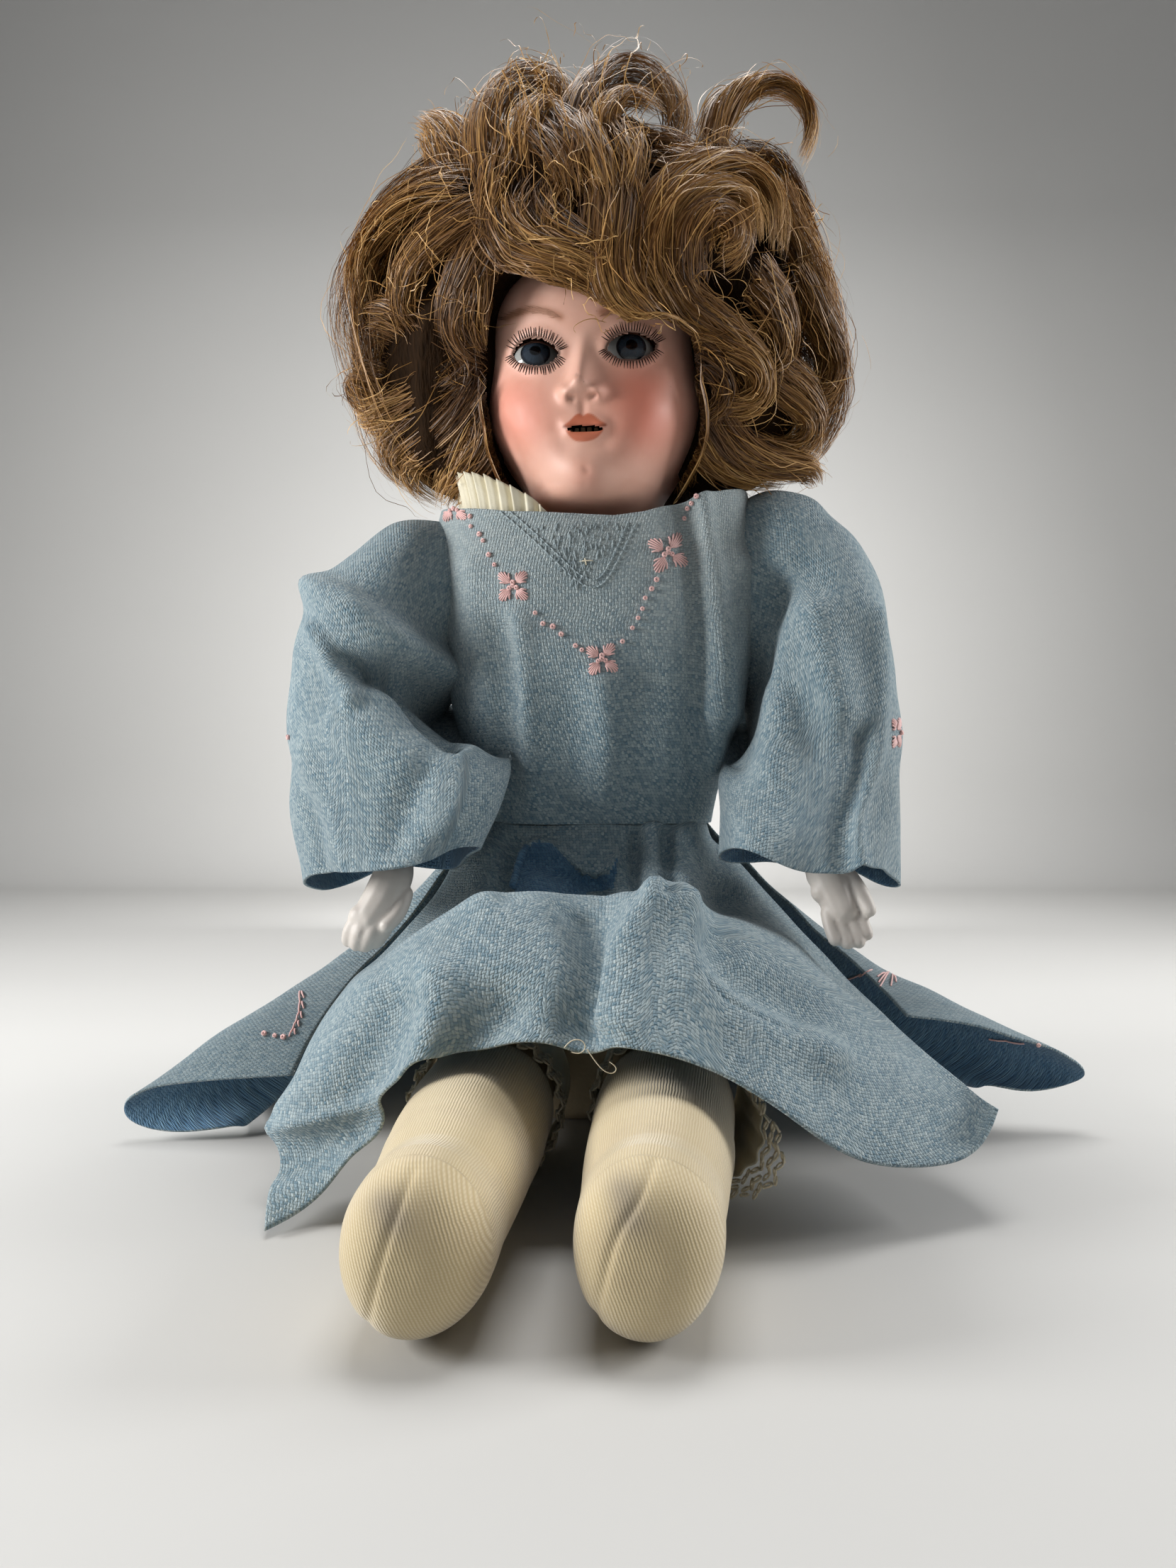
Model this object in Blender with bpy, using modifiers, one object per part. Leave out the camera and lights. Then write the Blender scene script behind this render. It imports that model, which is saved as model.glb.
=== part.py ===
"""A seated doll with a bisque head, glass sleep eyes, a curled wig and an embroidered dress.

Metres, +Z up. The doll faces -Y and sits on the flat seat of its body, whose face holds the origin.
Left and right are the doll's own: its left side is +X.
"""

import math

import bmesh
import bpy
from mathutils import Vector

MM = 0.001

# Clearances
FIT = 0.4 * MM
SLEEVE_GAP = 0.5 * MM

# Body
TORSO_TOP = 197 * MM
PLATE_HALF_WIDTH = 42 * MM
PLATE_HALF_DEPTH = 28 * MM

# Neck and head
NECK_Y = -6 * MM
NECK_RISE = 19 * MM
NECK_HEIGHT = TORSO_TOP + NECK_RISE
HEAD_TURN = math.radians(-6)
HEAD_ROLL = math.radians(-3)
NECK_BALL_RADIUS = 21 * MM
NECK_HOLE_RADIUS = 7 * MM
BISQUE_WALL = 3 * MM
CROWN_CUT_HEIGHT = 97 * MM
PATE_RISE = 13 * MM
PATE_WALL = 2 * MM
NECK_BOLT_RADIUS = 2 * MM

# Eyes and mouth, heights above the neck pivot
EYE_SPACING = 34 * MM
EYE_HEIGHT = 61 * MM
EYE_FORWARD = 25 * MM
EYE_RADIUS = 10.5 * MM
EYE_OPENING_WIDTH = 17 * MM
EYE_OPENING_HEIGHT = 10 * MM
ROCKER_WIRE_RADIUS = 1.3 * MM
WEIGHT_BEHIND = 15 * MM
WEIGHT_BELOW = 11 * MM
WEIGHT_RADIUS = 5 * MM
MOUTH_HEIGHT = 31 * MM
MOUTH_WIDTH = 12 * MM
MOUTH_GAP = 3.4 * MM
TEETH_LENGTH = 2.6 * MM
NOSE_LENGTH = 9 * MM
NOSE_BRIDGE_HEIGHT = 72 * MM
NOSE_TIP_HEIGHT = 44 * MM
NOSE_ROOT_HEIGHT = 38 * MM
NOSE_HALF_WIDTH = 5.5 * MM

# Wig
WIG_BOTTOM = 26 * MM
WIG_TOP = 174 * MM
WIG_LUMP = 4 * MM
LOOP_CURL_RADIUS = 24 * MM
LOOP_CURL_THICKNESS = 7.5 * MM

# Arms
SHOULDER_Y = -7 * MM
SHOULDER_RISE = 3 * MM
SHOULDER_HEIGHT = TORSO_TOP + SHOULDER_RISE
HAND_HEIGHT = 70.5 * MM
ARMHOLE_RADIUS = 16 * MM

# Legs
HIP_Y = -33 * MM
HIP_HEIGHT = 24.5 * MM
THIGH_RADIUS = 21 * MM
LEG_LENGTH = 174 * MM
FOOT_BOTTOM = 1.5 * MM
STOCKING_WALL = 0.9 * MM
STOCKING_START = 64 * MM
DRAWERS_WALL = 1.2 * MM
DRAWERS_START = 31 * MM
DRAWERS_END = 110 * MM
LACE_LENGTH = 9 * MM
LACE_WALL = 0.8 * MM

# Dress
CLOTH = 2.4 * MM
WAIST_HEIGHT = 110 * MM
WAIST_HALF_WIDTH = 44.5 * MM
WAIST_FRONT = 40.5 * MM
WAIST_BACK = 32.5 * MM
BODICE_HALF_WIDTH = 47.5 * MM
SHOULDER_HALF_WIDTH = BODICE_HALF_WIDTH - CLOTH - FIT
ARM_ROOT_X = SHOULDER_HALF_WIDTH + FIT
NECKLINE_RISE = 19.5 * MM
NECKLINE_HEIGHT = SHOULDER_HEIGHT + NECKLINE_RISE
NECKLINE_SIDE_RISE = 9 * MM
COLLAR_WALL = 1.0 * MM
COLLAR_DROP = 8 * MM
COLLAR_RISE = 12 * MM

NECK_PIVOT = Vector((0, NECK_Y, NECK_HEIGHT))


def linear(hex_colour):
    """sRGB hex to the linear values that a shader takes."""
    channels = [int(hex_colour[i : i + 2], 16) / 255 for i in (0, 2, 4)]
    return [c / 12.92 if c <= 0.04045 else ((c + 0.055) / 1.055) ** 2.4 for c in channels] + [1.0]


def finish(name, hex_colour, roughness, metallic=0.0):
    """A plain Principled material, made once for each name."""
    material = bpy.data.materials.get(name)
    if material is None:
        material = bpy.data.materials.new(name)
        material.use_nodes = True
        shader = material.node_tree.nodes["Principled BSDF"]
        shader.inputs["Base Color"].default_value = linear(hex_colour)
        shader.inputs["Roughness"].default_value = roughness
        shader.inputs["Metallic"].default_value = metallic
    return material


for old in list(bpy.data.objects):
    bpy.data.objects.remove(old, do_unlink=True)
doll = bpy.data.collections.new("porcelain_doll")
bpy.context.scene.collection.children.link(doll)
cutters = bpy.data.collections.new("cutters")
bpy.context.scene.collection.children.link(cutters)

FACE_BISQUE = finish("tinted_bisque", "D9A38E", 0.55)
WHITE_BISQUE = finish("white_bisque", "C9C0B8", 0.6)
GLASS = finish("eye_glass", "56677A", 0.1)
ENAMEL = finish("tooth_enamel", "EFE6DA", 0.3)
HAIR = finish("mohair", "5A3F26", 0.6)
CARD = finish("pate_card", "A68A64", 0.9)
WOOD = finish("beech", "B88B5A", 0.6)
STEEL = finish("steel_wire", "8A8C90", 0.35, 1.0)
LEAD = finish("lead", "6A6C70", 0.6, 1.0)
MUSLIN = finish("muslin", "D8CDB8", 0.9)
DRESS = finish("blue_crepe", "7C98A8", 0.9)
COLLAR = finish("cream_lawn", "E6DFC8", 0.9)
STOCKING = finish("cream_knit", "D9C6A0", 0.95)
LACE = finish("crochet_lace", "E8DFCB", 0.95)


def pivot(name, place, turn=(0, 0, 0), parent=None):
    """An empty on a joint's axis."""
    empty = bpy.data.objects.new(name, None)
    empty.location = place
    empty.rotation_euler = turn
    empty.parent = parent
    doll.objects.link(empty)
    return empty


def keep_place(obj, parent):
    """Parents an object without moving it."""
    bpy.context.view_layer.update()
    obj.parent = parent
    obj.matrix_parent_inverse = parent.matrix_world.inverted()


def add_mesh(name, bm, material, cutter=False):
    mesh = bpy.data.meshes.new(name)
    bm.to_mesh(mesh)
    bm.free()
    mesh.shade_smooth()
    obj = bpy.data.objects.new(name, mesh)
    if cutter:
        obj.hide_render = True
        obj.display_type = "WIRE"
        cutters.objects.link(obj)
    else:
        mesh.materials.append(material)
        doll.objects.link(obj)
    return obj


def face_out(bm, first_ring):
    """Turns every face round if the skin looks towards the middle of its first ring."""
    middle = sum(first_ring, Vector()) / len(first_ring)
    bm.faces.ensure_lookup_table()
    bm.normal_update()
    first = bm.faces[0]
    if first.normal.dot(first.calc_center_median() - middle) < 0:
        bmesh.ops.reverse_faces(bm, faces=bm.faces)


def loft(name, rings, material, tip=None, closed=True, cutter=False):
    """A skin through rings of equally many points. tip is a point that closes the last ring."""
    bm = bmesh.new()
    rows = [[bm.verts.new(point) for point in ring] for ring in rings]
    count = len(rows[0])
    for upper, lower in zip(rows, rows[1:]):
        for i in range(count):
            j = (i + 1) % count
            bm.faces.new((upper[i], lower[i], lower[j], upper[j]))
    if tip is not None:
        point = bm.verts.new(tip)
        for i in range(count):
            bm.faces.new((rows[-1][(i + 1) % count], rows[-1][i], point))
    if closed:
        bm.faces.new(rows[0])
        if tip is None:
            bm.faces.new(reversed(rows[-1]))
    face_out(bm, rings[0])
    return add_mesh(name, bm, material, cutter)


def thicken(obj, wall, outward=False):
    """Gives an open skin its wall."""
    modifier = obj.modifiers.new("wall", "SOLIDIFY")
    modifier.thickness = wall
    modifier.offset = 1.0 if outward else -1.0
    modifier.use_even_offset = True
    return modifier


def cut(obj, cutter, operation="DIFFERENCE"):
    modifier = obj.modifiers.new(operation.lower() + "_" + cutter.name, "BOOLEAN")
    modifier.operation = operation
    modifier.object = cutter
    modifier.solver = "EXACT"


def eased(points, share):
    """A place at a share of the way along a smooth path that starts and ends at its end points."""
    spans = len(points) - 1
    i = min(int(share * spans), spans - 1)
    t = share * spans - i
    start, end = points[i], points[i + 1]
    before = points[i - 1] if i > 0 else 2 * start - end
    after = points[i + 2] if i + 2 <= spans else 2 * end - start
    return (
        before * (1 - t) ** 3
        + start * (3 * t**3 - 6 * t**2 + 4)
        + end * (-3 * t**3 + 3 * t**2 + 3 * t + 1)
        + after * t**3
    ) / 6


def signed_power(value, exponent):
    return math.copysign(abs(value) ** exponent, value)


def oval(center, first, second, count, squareness=2.0):
    """A ring of points round a centre, with two half-axis vectors. Squareness 2 is an ellipse."""
    exponent = 2 / squareness
    ring = []
    for i in range(count):
        angle = 2 * math.pi * i / count
        along_first = first * signed_power(math.cos(angle), exponent)
        along_second = second * signed_power(math.sin(angle), exponent)
        ring.append(center + along_first + along_second)
    return ring


def uneven_oval(height, half_width, front, back, count, squareness=2.0, middle=(0, 0)):
    """A level ring whose front and back depths differ. The first point is at the front."""
    exponent = 2 / squareness
    ring = []
    for i in range(count):
        angle = 2 * math.pi * i / count
        depth = front if math.cos(angle) > 0 else back
        x = middle[0] + half_width * signed_power(math.sin(angle), exponent)
        y = middle[1] - depth * signed_power(math.cos(angle), exponent)
        ring.append(Vector((x, y, height)))
    return ring


def cylinder(name, radius, start, end, material, sides=16, cutter=False):
    """A round bar from one point to another."""
    bm = bmesh.new()
    axis = end - start
    bmesh.ops.create_cone(
        bm, cap_ends=True, segments=sides, radius1=radius, radius2=radius, depth=axis.length
    )
    obj = add_mesh(name, bm, material, cutter)
    obj.location = (start + end) / 2
    obj.rotation_euler = axis.to_track_quat("Z", "Y").to_euler()
    return obj


def ball(name, radius, center, material, sides=16, cutter=False):
    bm = bmesh.new()
    bmesh.ops.create_uvsphere(bm, u_segments=sides, v_segments=sides // 2, radius=radius)
    obj = add_mesh(name, bm, material, cutter)
    obj.location = center
    return obj


def tube(name, points, radii, material, sides=10, cutter=False):
    """A round bar of changing thickness along a path, with rounded-off ends."""
    rings = []
    for i, point in enumerate(points):
        ahead = points[min(i + 1, len(points) - 1)] - points[max(i - 1, 0)]
        side = ahead.cross(Vector((0, 1, 0))).normalized()
        other = ahead.cross(side).normalized()
        rings.append(oval(point, side * radii[i], other * radii[i], sides))
    return loft(name, rings, material, cutter=cutter)


neck_pivot = pivot("neck_pivot", NECK_PIVOT, (0, HEAD_ROLL, HEAD_TURN))
eye_pivot = pivot("eye_pivot", (0, -EYE_FORWARD, EYE_HEIGHT), parent=neck_pivot)

# Bisque head: level sections of its outer skin, from the crown cut down to the neck ball
HEAD_STEPS = 28
SKULL_SECTIONS = [
    # height, half width, front depth, back depth, from the neck pivot in millimetres
    (97, 28.5, 29.5, 35.0),
    (89, 33.5, 36.5, 41.0),
    (80, 36.0, 41.0, 44.5),
    (71, 37.0, 43.0, 46.0),
    (61, 37.0, 42.5, 46.0),
    (53, 37.2, 42.8, 45.0),
    (46, 37.2, 43.2, 43.0),
    (42, 36.8, 43.4, 41.0),
    (37, 36.0, 43.2, 38.0),
    (31, 34.3, 42.8, 34.5),
    (25, 31.5, 42.0, 30.5),
    (19, 28.5, 41.0, 27.0),
    (13, 25.0, 38.8, 24.0),
    (9.5, 22.6, 33.0, 22.0),
    (8, 21.4, 25.0, 21.2),
]


def nose(x, z):
    """How far the nose stands out from the face at a place on it."""
    if z >= NOSE_BRIDGE_HEIGHT or z <= NOSE_ROOT_HEIGHT:
        return 0.0
    if z > NOSE_TIP_HEIGHT:
        rise = (NOSE_BRIDGE_HEIGHT - z) / (NOSE_BRIDGE_HEIGHT - NOSE_TIP_HEIGHT)
    else:
        rise = (z - NOSE_ROOT_HEIGHT) / (NOSE_TIP_HEIGHT - NOSE_ROOT_HEIGHT)
    return NOSE_LENGTH * rise**1.4 * math.exp(-((x / NOSE_HALF_WIDTH) ** 2))


def skull_ring(section, grow=0.0):
    half_width, front, back = [value * MM for value in section[1:]]
    height = CROWN_CUT_HEIGHT * section[0] / SKULL_SECTIONS[0][0]
    ring = uneven_oval(height, half_width + grow, front + grow, back + grow, HEAD_STEPS)
    for point in ring:
        if point.y < 0:
            point.y -= nose(point.x, point.z)
    return ring


def neck_ball_rings(radius, hole_radius, count, steps=5):
    """The round foot of the neck, from its middle down to the hole under it."""
    last = math.asin(hole_radius / radius)
    rings = []
    for i in range(steps):
        angle = math.pi / 2 + (math.pi / 2 - last) * i / (steps - 1)
        ring_radius = radius * math.sin(angle)
        rings.append(uneven_oval(radius * math.cos(angle), ring_radius, ring_radius, ring_radius, count))
    return rings


OPENING_REACH = 30 * MM
head_rings = [skull_ring(section) for section in SKULL_SECTIONS]
head_rings += neck_ball_rings(NECK_BALL_RADIUS, NECK_HOLE_RADIUS, HEAD_STEPS)
head = loft("bisque_head", head_rings, FACE_BISQUE, closed=False)
thicken(head, BISQUE_WALL)
head.parent = neck_pivot
for side, name in ((1, "left"), (-1, "right")):
    eye_center = Vector((side * EYE_SPACING / 2, -EYE_FORWARD, EYE_HEIGHT))
    socket = ball(name + "_eye_socket", EYE_RADIUS + FIT, eye_center, None, cutter=True)
    socket.parent = neck_pivot
    cut(head, socket)
    half_opening = Vector((EYE_OPENING_WIDTH / 2, 0, 0))
    half_height = Vector((0, 0, EYE_OPENING_HEIGHT / 2))
    outside = eye_center - Vector((0, OPENING_REACH, 0))
    opening_rings = [oval(place, half_opening, half_height, 14) for place in (eye_center, outside)]
    opening = loft(name + "_eye_opening", opening_rings, None, cutter=True)
    opening.parent = neck_pivot
    cut(head, opening)
mouth_half = Vector((MOUTH_WIDTH / 2, 0, 0))
mouth_half_height = Vector((0, 0, MOUTH_GAP / 2))
mouth_inside = Vector((0, -OPENING_REACH, MOUTH_HEIGHT))
mouth_rings = []
for place in (mouth_inside, mouth_inside - Vector((0, OPENING_REACH, 0))):
    mouth_rings.append(oval(place, mouth_half, mouth_half_height, 10))
mouth = loft("mouth_slot", mouth_rings, None, cutter=True)
mouth.parent = neck_pivot
cut(head, mouth)

# Upper teeth: a moulded strip set behind the upper lip
MOUTH_SECTION = next(section for section in SKULL_SECTIONS if section[0] * MM <= MOUTH_HEIGHT)
TEETH_GAP = 1.1 * MM
TEETH_DEPTH = 1.5 * MM
teeth_front = MOUTH_SECTION[2] * MM - BISQUE_WALL - TEETH_GAP
teeth_rings = []
for i in range(9):
    x = MOUTH_WIDTH * (i / 8 - 0.5)
    drop = TEETH_LENGTH * (0.75 + 0.25 * (i % 2))
    top = MOUTH_HEIGHT + MOUTH_GAP
    teeth_rings.append(
        [
            Vector((x, -teeth_front, top)),
            Vector((x, -teeth_front + TEETH_DEPTH, top)),
            Vector((x, -teeth_front + TEETH_DEPTH, top - MOUTH_GAP / 2 - drop)),
            Vector((x, -teeth_front, top - MOUTH_GAP / 2 - drop)),
        ]
    )
teeth = loft("upper_teeth", teeth_rings, ENAMEL)
teeth.parent = neck_pivot

# Pate: the card dome over the crown cut
PATE_SECTIONS = [
    # share of the dome's rise, and of the crown cut's width there
    (0, 1.0),
    (0.42, 0.83),
    (0.73, 0.6),
    (0.92, 0.32),
]
PATE_TIP_SHARE = 0.12
crown = [value * MM for value in SKULL_SECTIONS[0][1:]]


def pate_ring(rise, share, grow=0.0):
    height = CROWN_CUT_HEIGHT + PATE_RISE * rise
    depths = [size * share + grow for size in crown]
    return uneven_oval(height + FIT + grow, *depths, HEAD_STEPS)


pate_tip = Vector((0, (crown[2] - crown[1]) * PATE_TIP_SHARE, CROWN_CUT_HEIGHT + PATE_RISE + FIT))
pate_rings = [pate_ring(*section) for section in PATE_SECTIONS]
pate = loft("pate", pate_rings, CARD, tip=pate_tip, closed=False)
thicken(pate, PATE_WALL, outward=True)
pate.parent = neck_pivot

# Sleep eyes: two glass balls on one rocker with a lead weight
for side, name in ((1, "left"), (-1, "right")):
    eye = ball(name + "_eye", EYE_RADIUS, Vector((side * EYE_SPACING / 2, 0, 0)), GLASS)
    eye.parent = eye_pivot
bar_half = EYE_SPACING / 2 - EYE_RADIUS - FIT
bar_end = Vector((bar_half, 0, 0))
bar = cylinder("eye_rocker", ROCKER_WIRE_RADIUS, -bar_end, bar_end, STEEL, 10)
stem_end = Vector((0, WEIGHT_BEHIND, -WEIGHT_BELOW))
stem = cylinder("rocker_stem", ROCKER_WIRE_RADIUS * 0.9, Vector((0, 0, 0)), stem_end, None, 8, cutter=True)
cut(bar, stem, "UNION")
for obj in (bar, stem):
    obj.parent = eye_pivot
weight_center = stem_end * (1 + (WEIGHT_RADIUS + FIT) / stem_end.length)
weight = ball("eye_weight", WEIGHT_RADIUS, weight_center, LEAD, 14)
weight.parent = eye_pivot

# Neck fittings: a wooden plug inside the neck, with the bolt that holds the head down
PLUG_SHARES = (0.34, 0.62, 0.85)
BORE_REACH = 20 * MM
plug_radius = NECK_BALL_RADIUS - BISQUE_WALL - FIT
plug_top = -plug_radius * PLUG_SHARES[0]
plug_rings = []
for share in PLUG_SHARES:
    height = -plug_radius * share
    ring_radius = math.sqrt(plug_radius**2 - height**2)
    plug_rings.append(uneven_oval(height, ring_radius, ring_radius, ring_radius, 20))
plug = loft("neck_plug", plug_rings, WOOD)
plug_bore = cylinder(
    "plug_bore",
    NECK_BOLT_RADIUS + FIT,
    Vector((0, 0, plug_top - BORE_REACH)),
    Vector((0, 0, plug_top + BORE_REACH)),
    None,
    cutter=True,
)
cut(plug, plug_bore)
NUT_THICKNESS = 3 * MM
NUT_OVERLAP = 3.5 * MM
NUT_RADIUS = NECK_HOLE_RADIUS + NUT_OVERLAP
BOLT_HEAD_THICKNESS = 2 * MM
socket_bottom = NECK_BALL_RADIUS + FIT + BISQUE_WALL
bolt_bottom = Vector((0, 0, -socket_bottom - NUT_THICKNESS))
bolt = cylinder("neck_bolt", NECK_BOLT_RADIUS, bolt_bottom, Vector((0, 0, plug_top)), STEEL)
bolt_head = cylinder(
    "neck_bolt_head",
    NECK_BOLT_RADIUS * 2.2,
    Vector((0, 0, plug_top + FIT)),
    Vector((0, 0, plug_top + FIT + BOLT_HEAD_THICKNESS)),
    None,
    cutter=True,
)
bolt_neck = cylinder(
    "neck_bolt_neck",
    NECK_BOLT_RADIUS * 0.95,
    Vector((0, 0, plug_top - BOLT_HEAD_THICKNESS)),
    Vector((0, 0, plug_top + FIT + BOLT_HEAD_THICKNESS / 2)),
    None,
    cutter=True,
)
cut(bolt, bolt_neck, "UNION")
cut(bolt, bolt_head, "UNION")
nut = cylinder(
    "neck_nut",
    NUT_RADIUS,
    Vector((0, 0, -socket_bottom - FIT - NUT_THICKNESS)),
    Vector((0, 0, -socket_bottom - FIT)),
    STEEL,
    6,
)
nut_bore = cylinder(
    "nut_bore",
    NECK_BOLT_RADIUS + FIT,
    Vector((0, 0, -socket_bottom - BORE_REACH)),
    Vector((0, 0, -socket_bottom + BORE_REACH)),
    None,
    cutter=True,
)
cut(nut, nut_bore)
for obj in (plug, plug_bore, bolt, bolt_head, bolt_neck, nut, nut_bore):
    obj.parent = neck_pivot

# Wig: one lumpy mass of curls with room for the head, and locks that stand out of it
WIG_STEPS = 27
WIG_SECTIONS = [
    # height above the neck pivot, half width, front depth, back depth in millimetres
    (26, 72, 30, 60),
    (38, 87, 44, 71),
    (60, 92, 54, 78),
    (84, 90, 58, 80),
    (108, 85, 58, 77),
    (130, 75, 53, 69),
    (150, 59, 43, 55),
    (165, 40, 30, 37),
    (174, 0, 0, 0),
]
WIG_LOBES = 9


def above_neck(x, y, z):
    """A place given in millimetres from the neck pivot, in the upright frame."""
    return NECK_PIVOT + Vector((x, y, z)) * MM


wig_rings = []
wig_low, wig_high = WIG_SECTIONS[0][0], WIG_SECTIONS[-1][0]
for level, (height, half_width, front, back) in enumerate(WIG_SECTIONS[:-1]):
    lift = WIG_BOTTOM + (WIG_TOP - WIG_BOTTOM) * (height - wig_low) / (wig_high - wig_low)
    ring = uneven_oval(lift, half_width * MM, front * MM, back * MM, WIG_STEPS)
    for i, point in enumerate(ring):
        lump = WIG_LUMP * math.sin(2 * math.pi * WIG_LOBES * i / WIG_STEPS + 1.9 * level)
        sideways = Vector((point.x, point.y, 0))
        point += sideways.normalized() * lump
    wig_rings.append([point + NECK_PIVOT for point in ring])
wig = loft("wig", wig_rings, HAIR, tip=NECK_PIVOT + Vector((0, 0, WIG_TOP)))

LOOP_MIDDLE = above_neck(66, -12, 148)
LOOP_LEAN = 3 * MM
LOOP_START, LOOP_TURN = math.radians(-140), math.radians(290)
LOOP_STEPS = 13
loop_points = []
loop_radii = []
for i in range(LOOP_STEPS):
    share = i / (LOOP_STEPS - 1)
    turn = LOOP_START + LOOP_TURN * share
    reach = LOOP_CURL_RADIUS * (1 + 0.25 * share)
    round_loop = Vector((reach * math.sin(turn), -LOOP_LEAN * share, reach * math.cos(turn)))
    loop_points.append(LOOP_MIDDLE + round_loop)
    loop_radii.append(LOOP_CURL_THICKNESS * (1 - 0.5 * share))
SIDE_LOCKS = [
    # start and end of each sausage curl from the neck pivot, and its radius, in millimetres
    ((-70, -22, 70), (-92, -30, 44), 12),
    ((-74, 0, 100), (-91, -14, 74), 12),
    ((-66, -30, 40), (-84, -20, 30), 11),
    ((78, -26, 66), (94, -34, 36), 13),
    ((80, 0, 96), (97, -10, 66), 12),
    ((-40, -40, 148), (-58, -36, 124), 13),
    ((0, -36, 162), (18, -46, 140), 13),
    ((40, -44, 112), (58, -60, 84), 14),
]
locks = [tube("loop_curl", loop_points, loop_radii, None, 8, cutter=True)]
for i, (start, end, radius) in enumerate(SIDE_LOCKS):
    first = above_neck(*start)
    last = above_neck(*end)
    places = [first.lerp(last, share) for share in (0, 0.5, 1, 1.25)]
    sizes = [radius * MM * share for share in (0.8, 1, 0.9, 0.45)]
    locks.append(tube("side_lock_%d" % i, places, sizes, None, 8, cutter=True))
for lock in locks:
    cut(wig, lock, "UNION")
HEAD_ROOM_LEVEL = 17
HEAD_ROOM_BELOW = -5 * MM
hidden = [section for section in SKULL_SECTIONS if section[0] > HEAD_ROOM_LEVEL]
room_rings = [skull_ring(section, FIT * 1.5) for section in hidden]
for point in room_rings[-1]:
    point.z = HEAD_ROOM_BELOW
pate_room = PATE_WALL + 2 * FIT
crown_rings = [pate_ring(1, PATE_TIP_SHARE, pate_room)]
crown_rings += [pate_ring(rise, share, pate_room) for rise, share in reversed(PATE_SECTIONS)]
head_room = loft("head_room", crown_rings + room_rings, None, cutter=True)
head_room.parent = neck_pivot
cut(wig, head_room)
FACE_WINDOW = [
    # half outline of the bare face from the neck pivot, in millimetres, up the doll's right side
    (-33, -10),
    (-36, 30),
    (-36, 62),
    (-31, 79),
    (-14, 89),
    (8, 87),
    (24, 78),
    (36, 66),
    (37, 30),
    (34, -10),
]
WINDOW_FRONT, WINDOW_BACK = -120, -8
window_rings = [[Vector((x, y, z)) * MM for x, z in FACE_WINDOW] for y in (WINDOW_FRONT, WINDOW_BACK)]
window = loft("face_window", window_rings, None, cutter=True)
window.parent = neck_pivot
cut(wig, window)
keep_place(wig, neck_pivot)

# Torso: stuffed cloth, flat under the seat, with room in front for the round ends of the legs
TORSO_SECTIONS = [
    # height, half width, front depth, back depth in millimetres
    (0, 46, 32, 32),
    (8, 49, 37, 36),
    (30, 50, 38, 37),
    (65, 42, 33, 31),
    (105, 36, 27, 25),
    (150, 40, 32, 29),
    (185, SHOULDER_HALF_WIDTH / MM, 30, 28),
    (197, SHOULDER_HALF_WIDTH / MM, 28, 26),
]
torso_rings = []
for height, half_width, front, back in reversed(TORSO_SECTIONS):
    level = TORSO_TOP * height / TORSO_SECTIONS[-1][0]
    torso_rings.append(uneven_oval(level, half_width * MM, front * MM, back * MM, 24, 2.4))
torso = loft("torso", torso_rings, MUSLIN)
HIP_ROOM = THIGH_RADIUS + FIT
CUT_REACH = 80 * MM
HIP_ARC_STEPS = 8
hip_outline = [(HIP_Y - CUT_REACH, -CUT_REACH), (HIP_Y + HIP_ROOM, -CUT_REACH)]
for i in range(HIP_ARC_STEPS + 1):
    angle = math.pi / 2 * i / HIP_ARC_STEPS
    hip_outline.append((HIP_Y + HIP_ROOM * math.cos(angle), HIP_HEIGHT + HIP_ROOM * math.sin(angle)))
hip_outline.append((HIP_Y - CUT_REACH, HIP_HEIGHT + HIP_ROOM))
hip_rings = [[Vector((x, y, z)) for y, z in hip_outline] for x in (-CUT_REACH, CUT_REACH)]
hip_room = loft("hip_room", hip_rings, None, cutter=True)
cut(torso, hip_room)
nut_reach = math.hypot(socket_bottom + FIT + NUT_THICKNESS, NUT_RADIUS)
neck_room = ball("neck_room", nut_reach + 3 * FIT, NECK_PIVOT, None, 24, cutter=True)
cut(torso, neck_room)

# Shoulder plate: bisque, seated on the body, with the cup that the neck turns in
cup_radius = NECK_BALL_RADIUS + FIT
CUP_RIM_DROP = 3 * MM
CUP_RIM_WALL = 1.5 * MM
NECK_FOOT_DROP = 8 * MM
NECK_FOOT_WIDTH = 5 * MM
SLOPE_DROP = 13 * MM
SLOPE_INSET = 8 * MM
plate_sections = [
    # height, half width, half depth of the outer skin, from the cup's rim out to the edge
    (NECK_HEIGHT - CUP_RIM_DROP, cup_radius + CUP_RIM_WALL, cup_radius + CUP_RIM_WALL),
    (NECK_HEIGHT - NECK_FOOT_DROP, cup_radius + NECK_FOOT_WIDTH, cup_radius + BISQUE_WALL),
    (NECK_HEIGHT - SLOPE_DROP, PLATE_HALF_WIDTH - SLOPE_INSET, PLATE_HALF_DEPTH - 2.5 * FIT),
    (TORSO_TOP + BISQUE_WALL + FIT, PLATE_HALF_WIDTH, PLATE_HALF_DEPTH),
    (TORSO_TOP + FIT, PLATE_HALF_WIDTH, PLATE_HALF_DEPTH),
]
plate_rings = []
for height, half_width, half_depth in plate_sections:
    plate_rings.append(uneven_oval(height, half_width, half_depth, half_depth, 28, middle=(0, NECK_Y)))
edge_drop = NECK_HEIGHT - TORSO_TOP - FIT
first_angle = math.asin(edge_drop / socket_bottom)
last_angle = math.radians(80)
BOWL_STEPS = 4
for i in range(BOWL_STEPS):
    angle = first_angle + (last_angle - first_angle) * i / (BOWL_STEPS - 1)
    across = socket_bottom * math.cos(angle)
    drop = NECK_HEIGHT - socket_bottom * math.sin(angle)
    plate_rings.append(uneven_oval(drop, across, across, across, 28, middle=(0, NECK_Y)))
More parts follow.
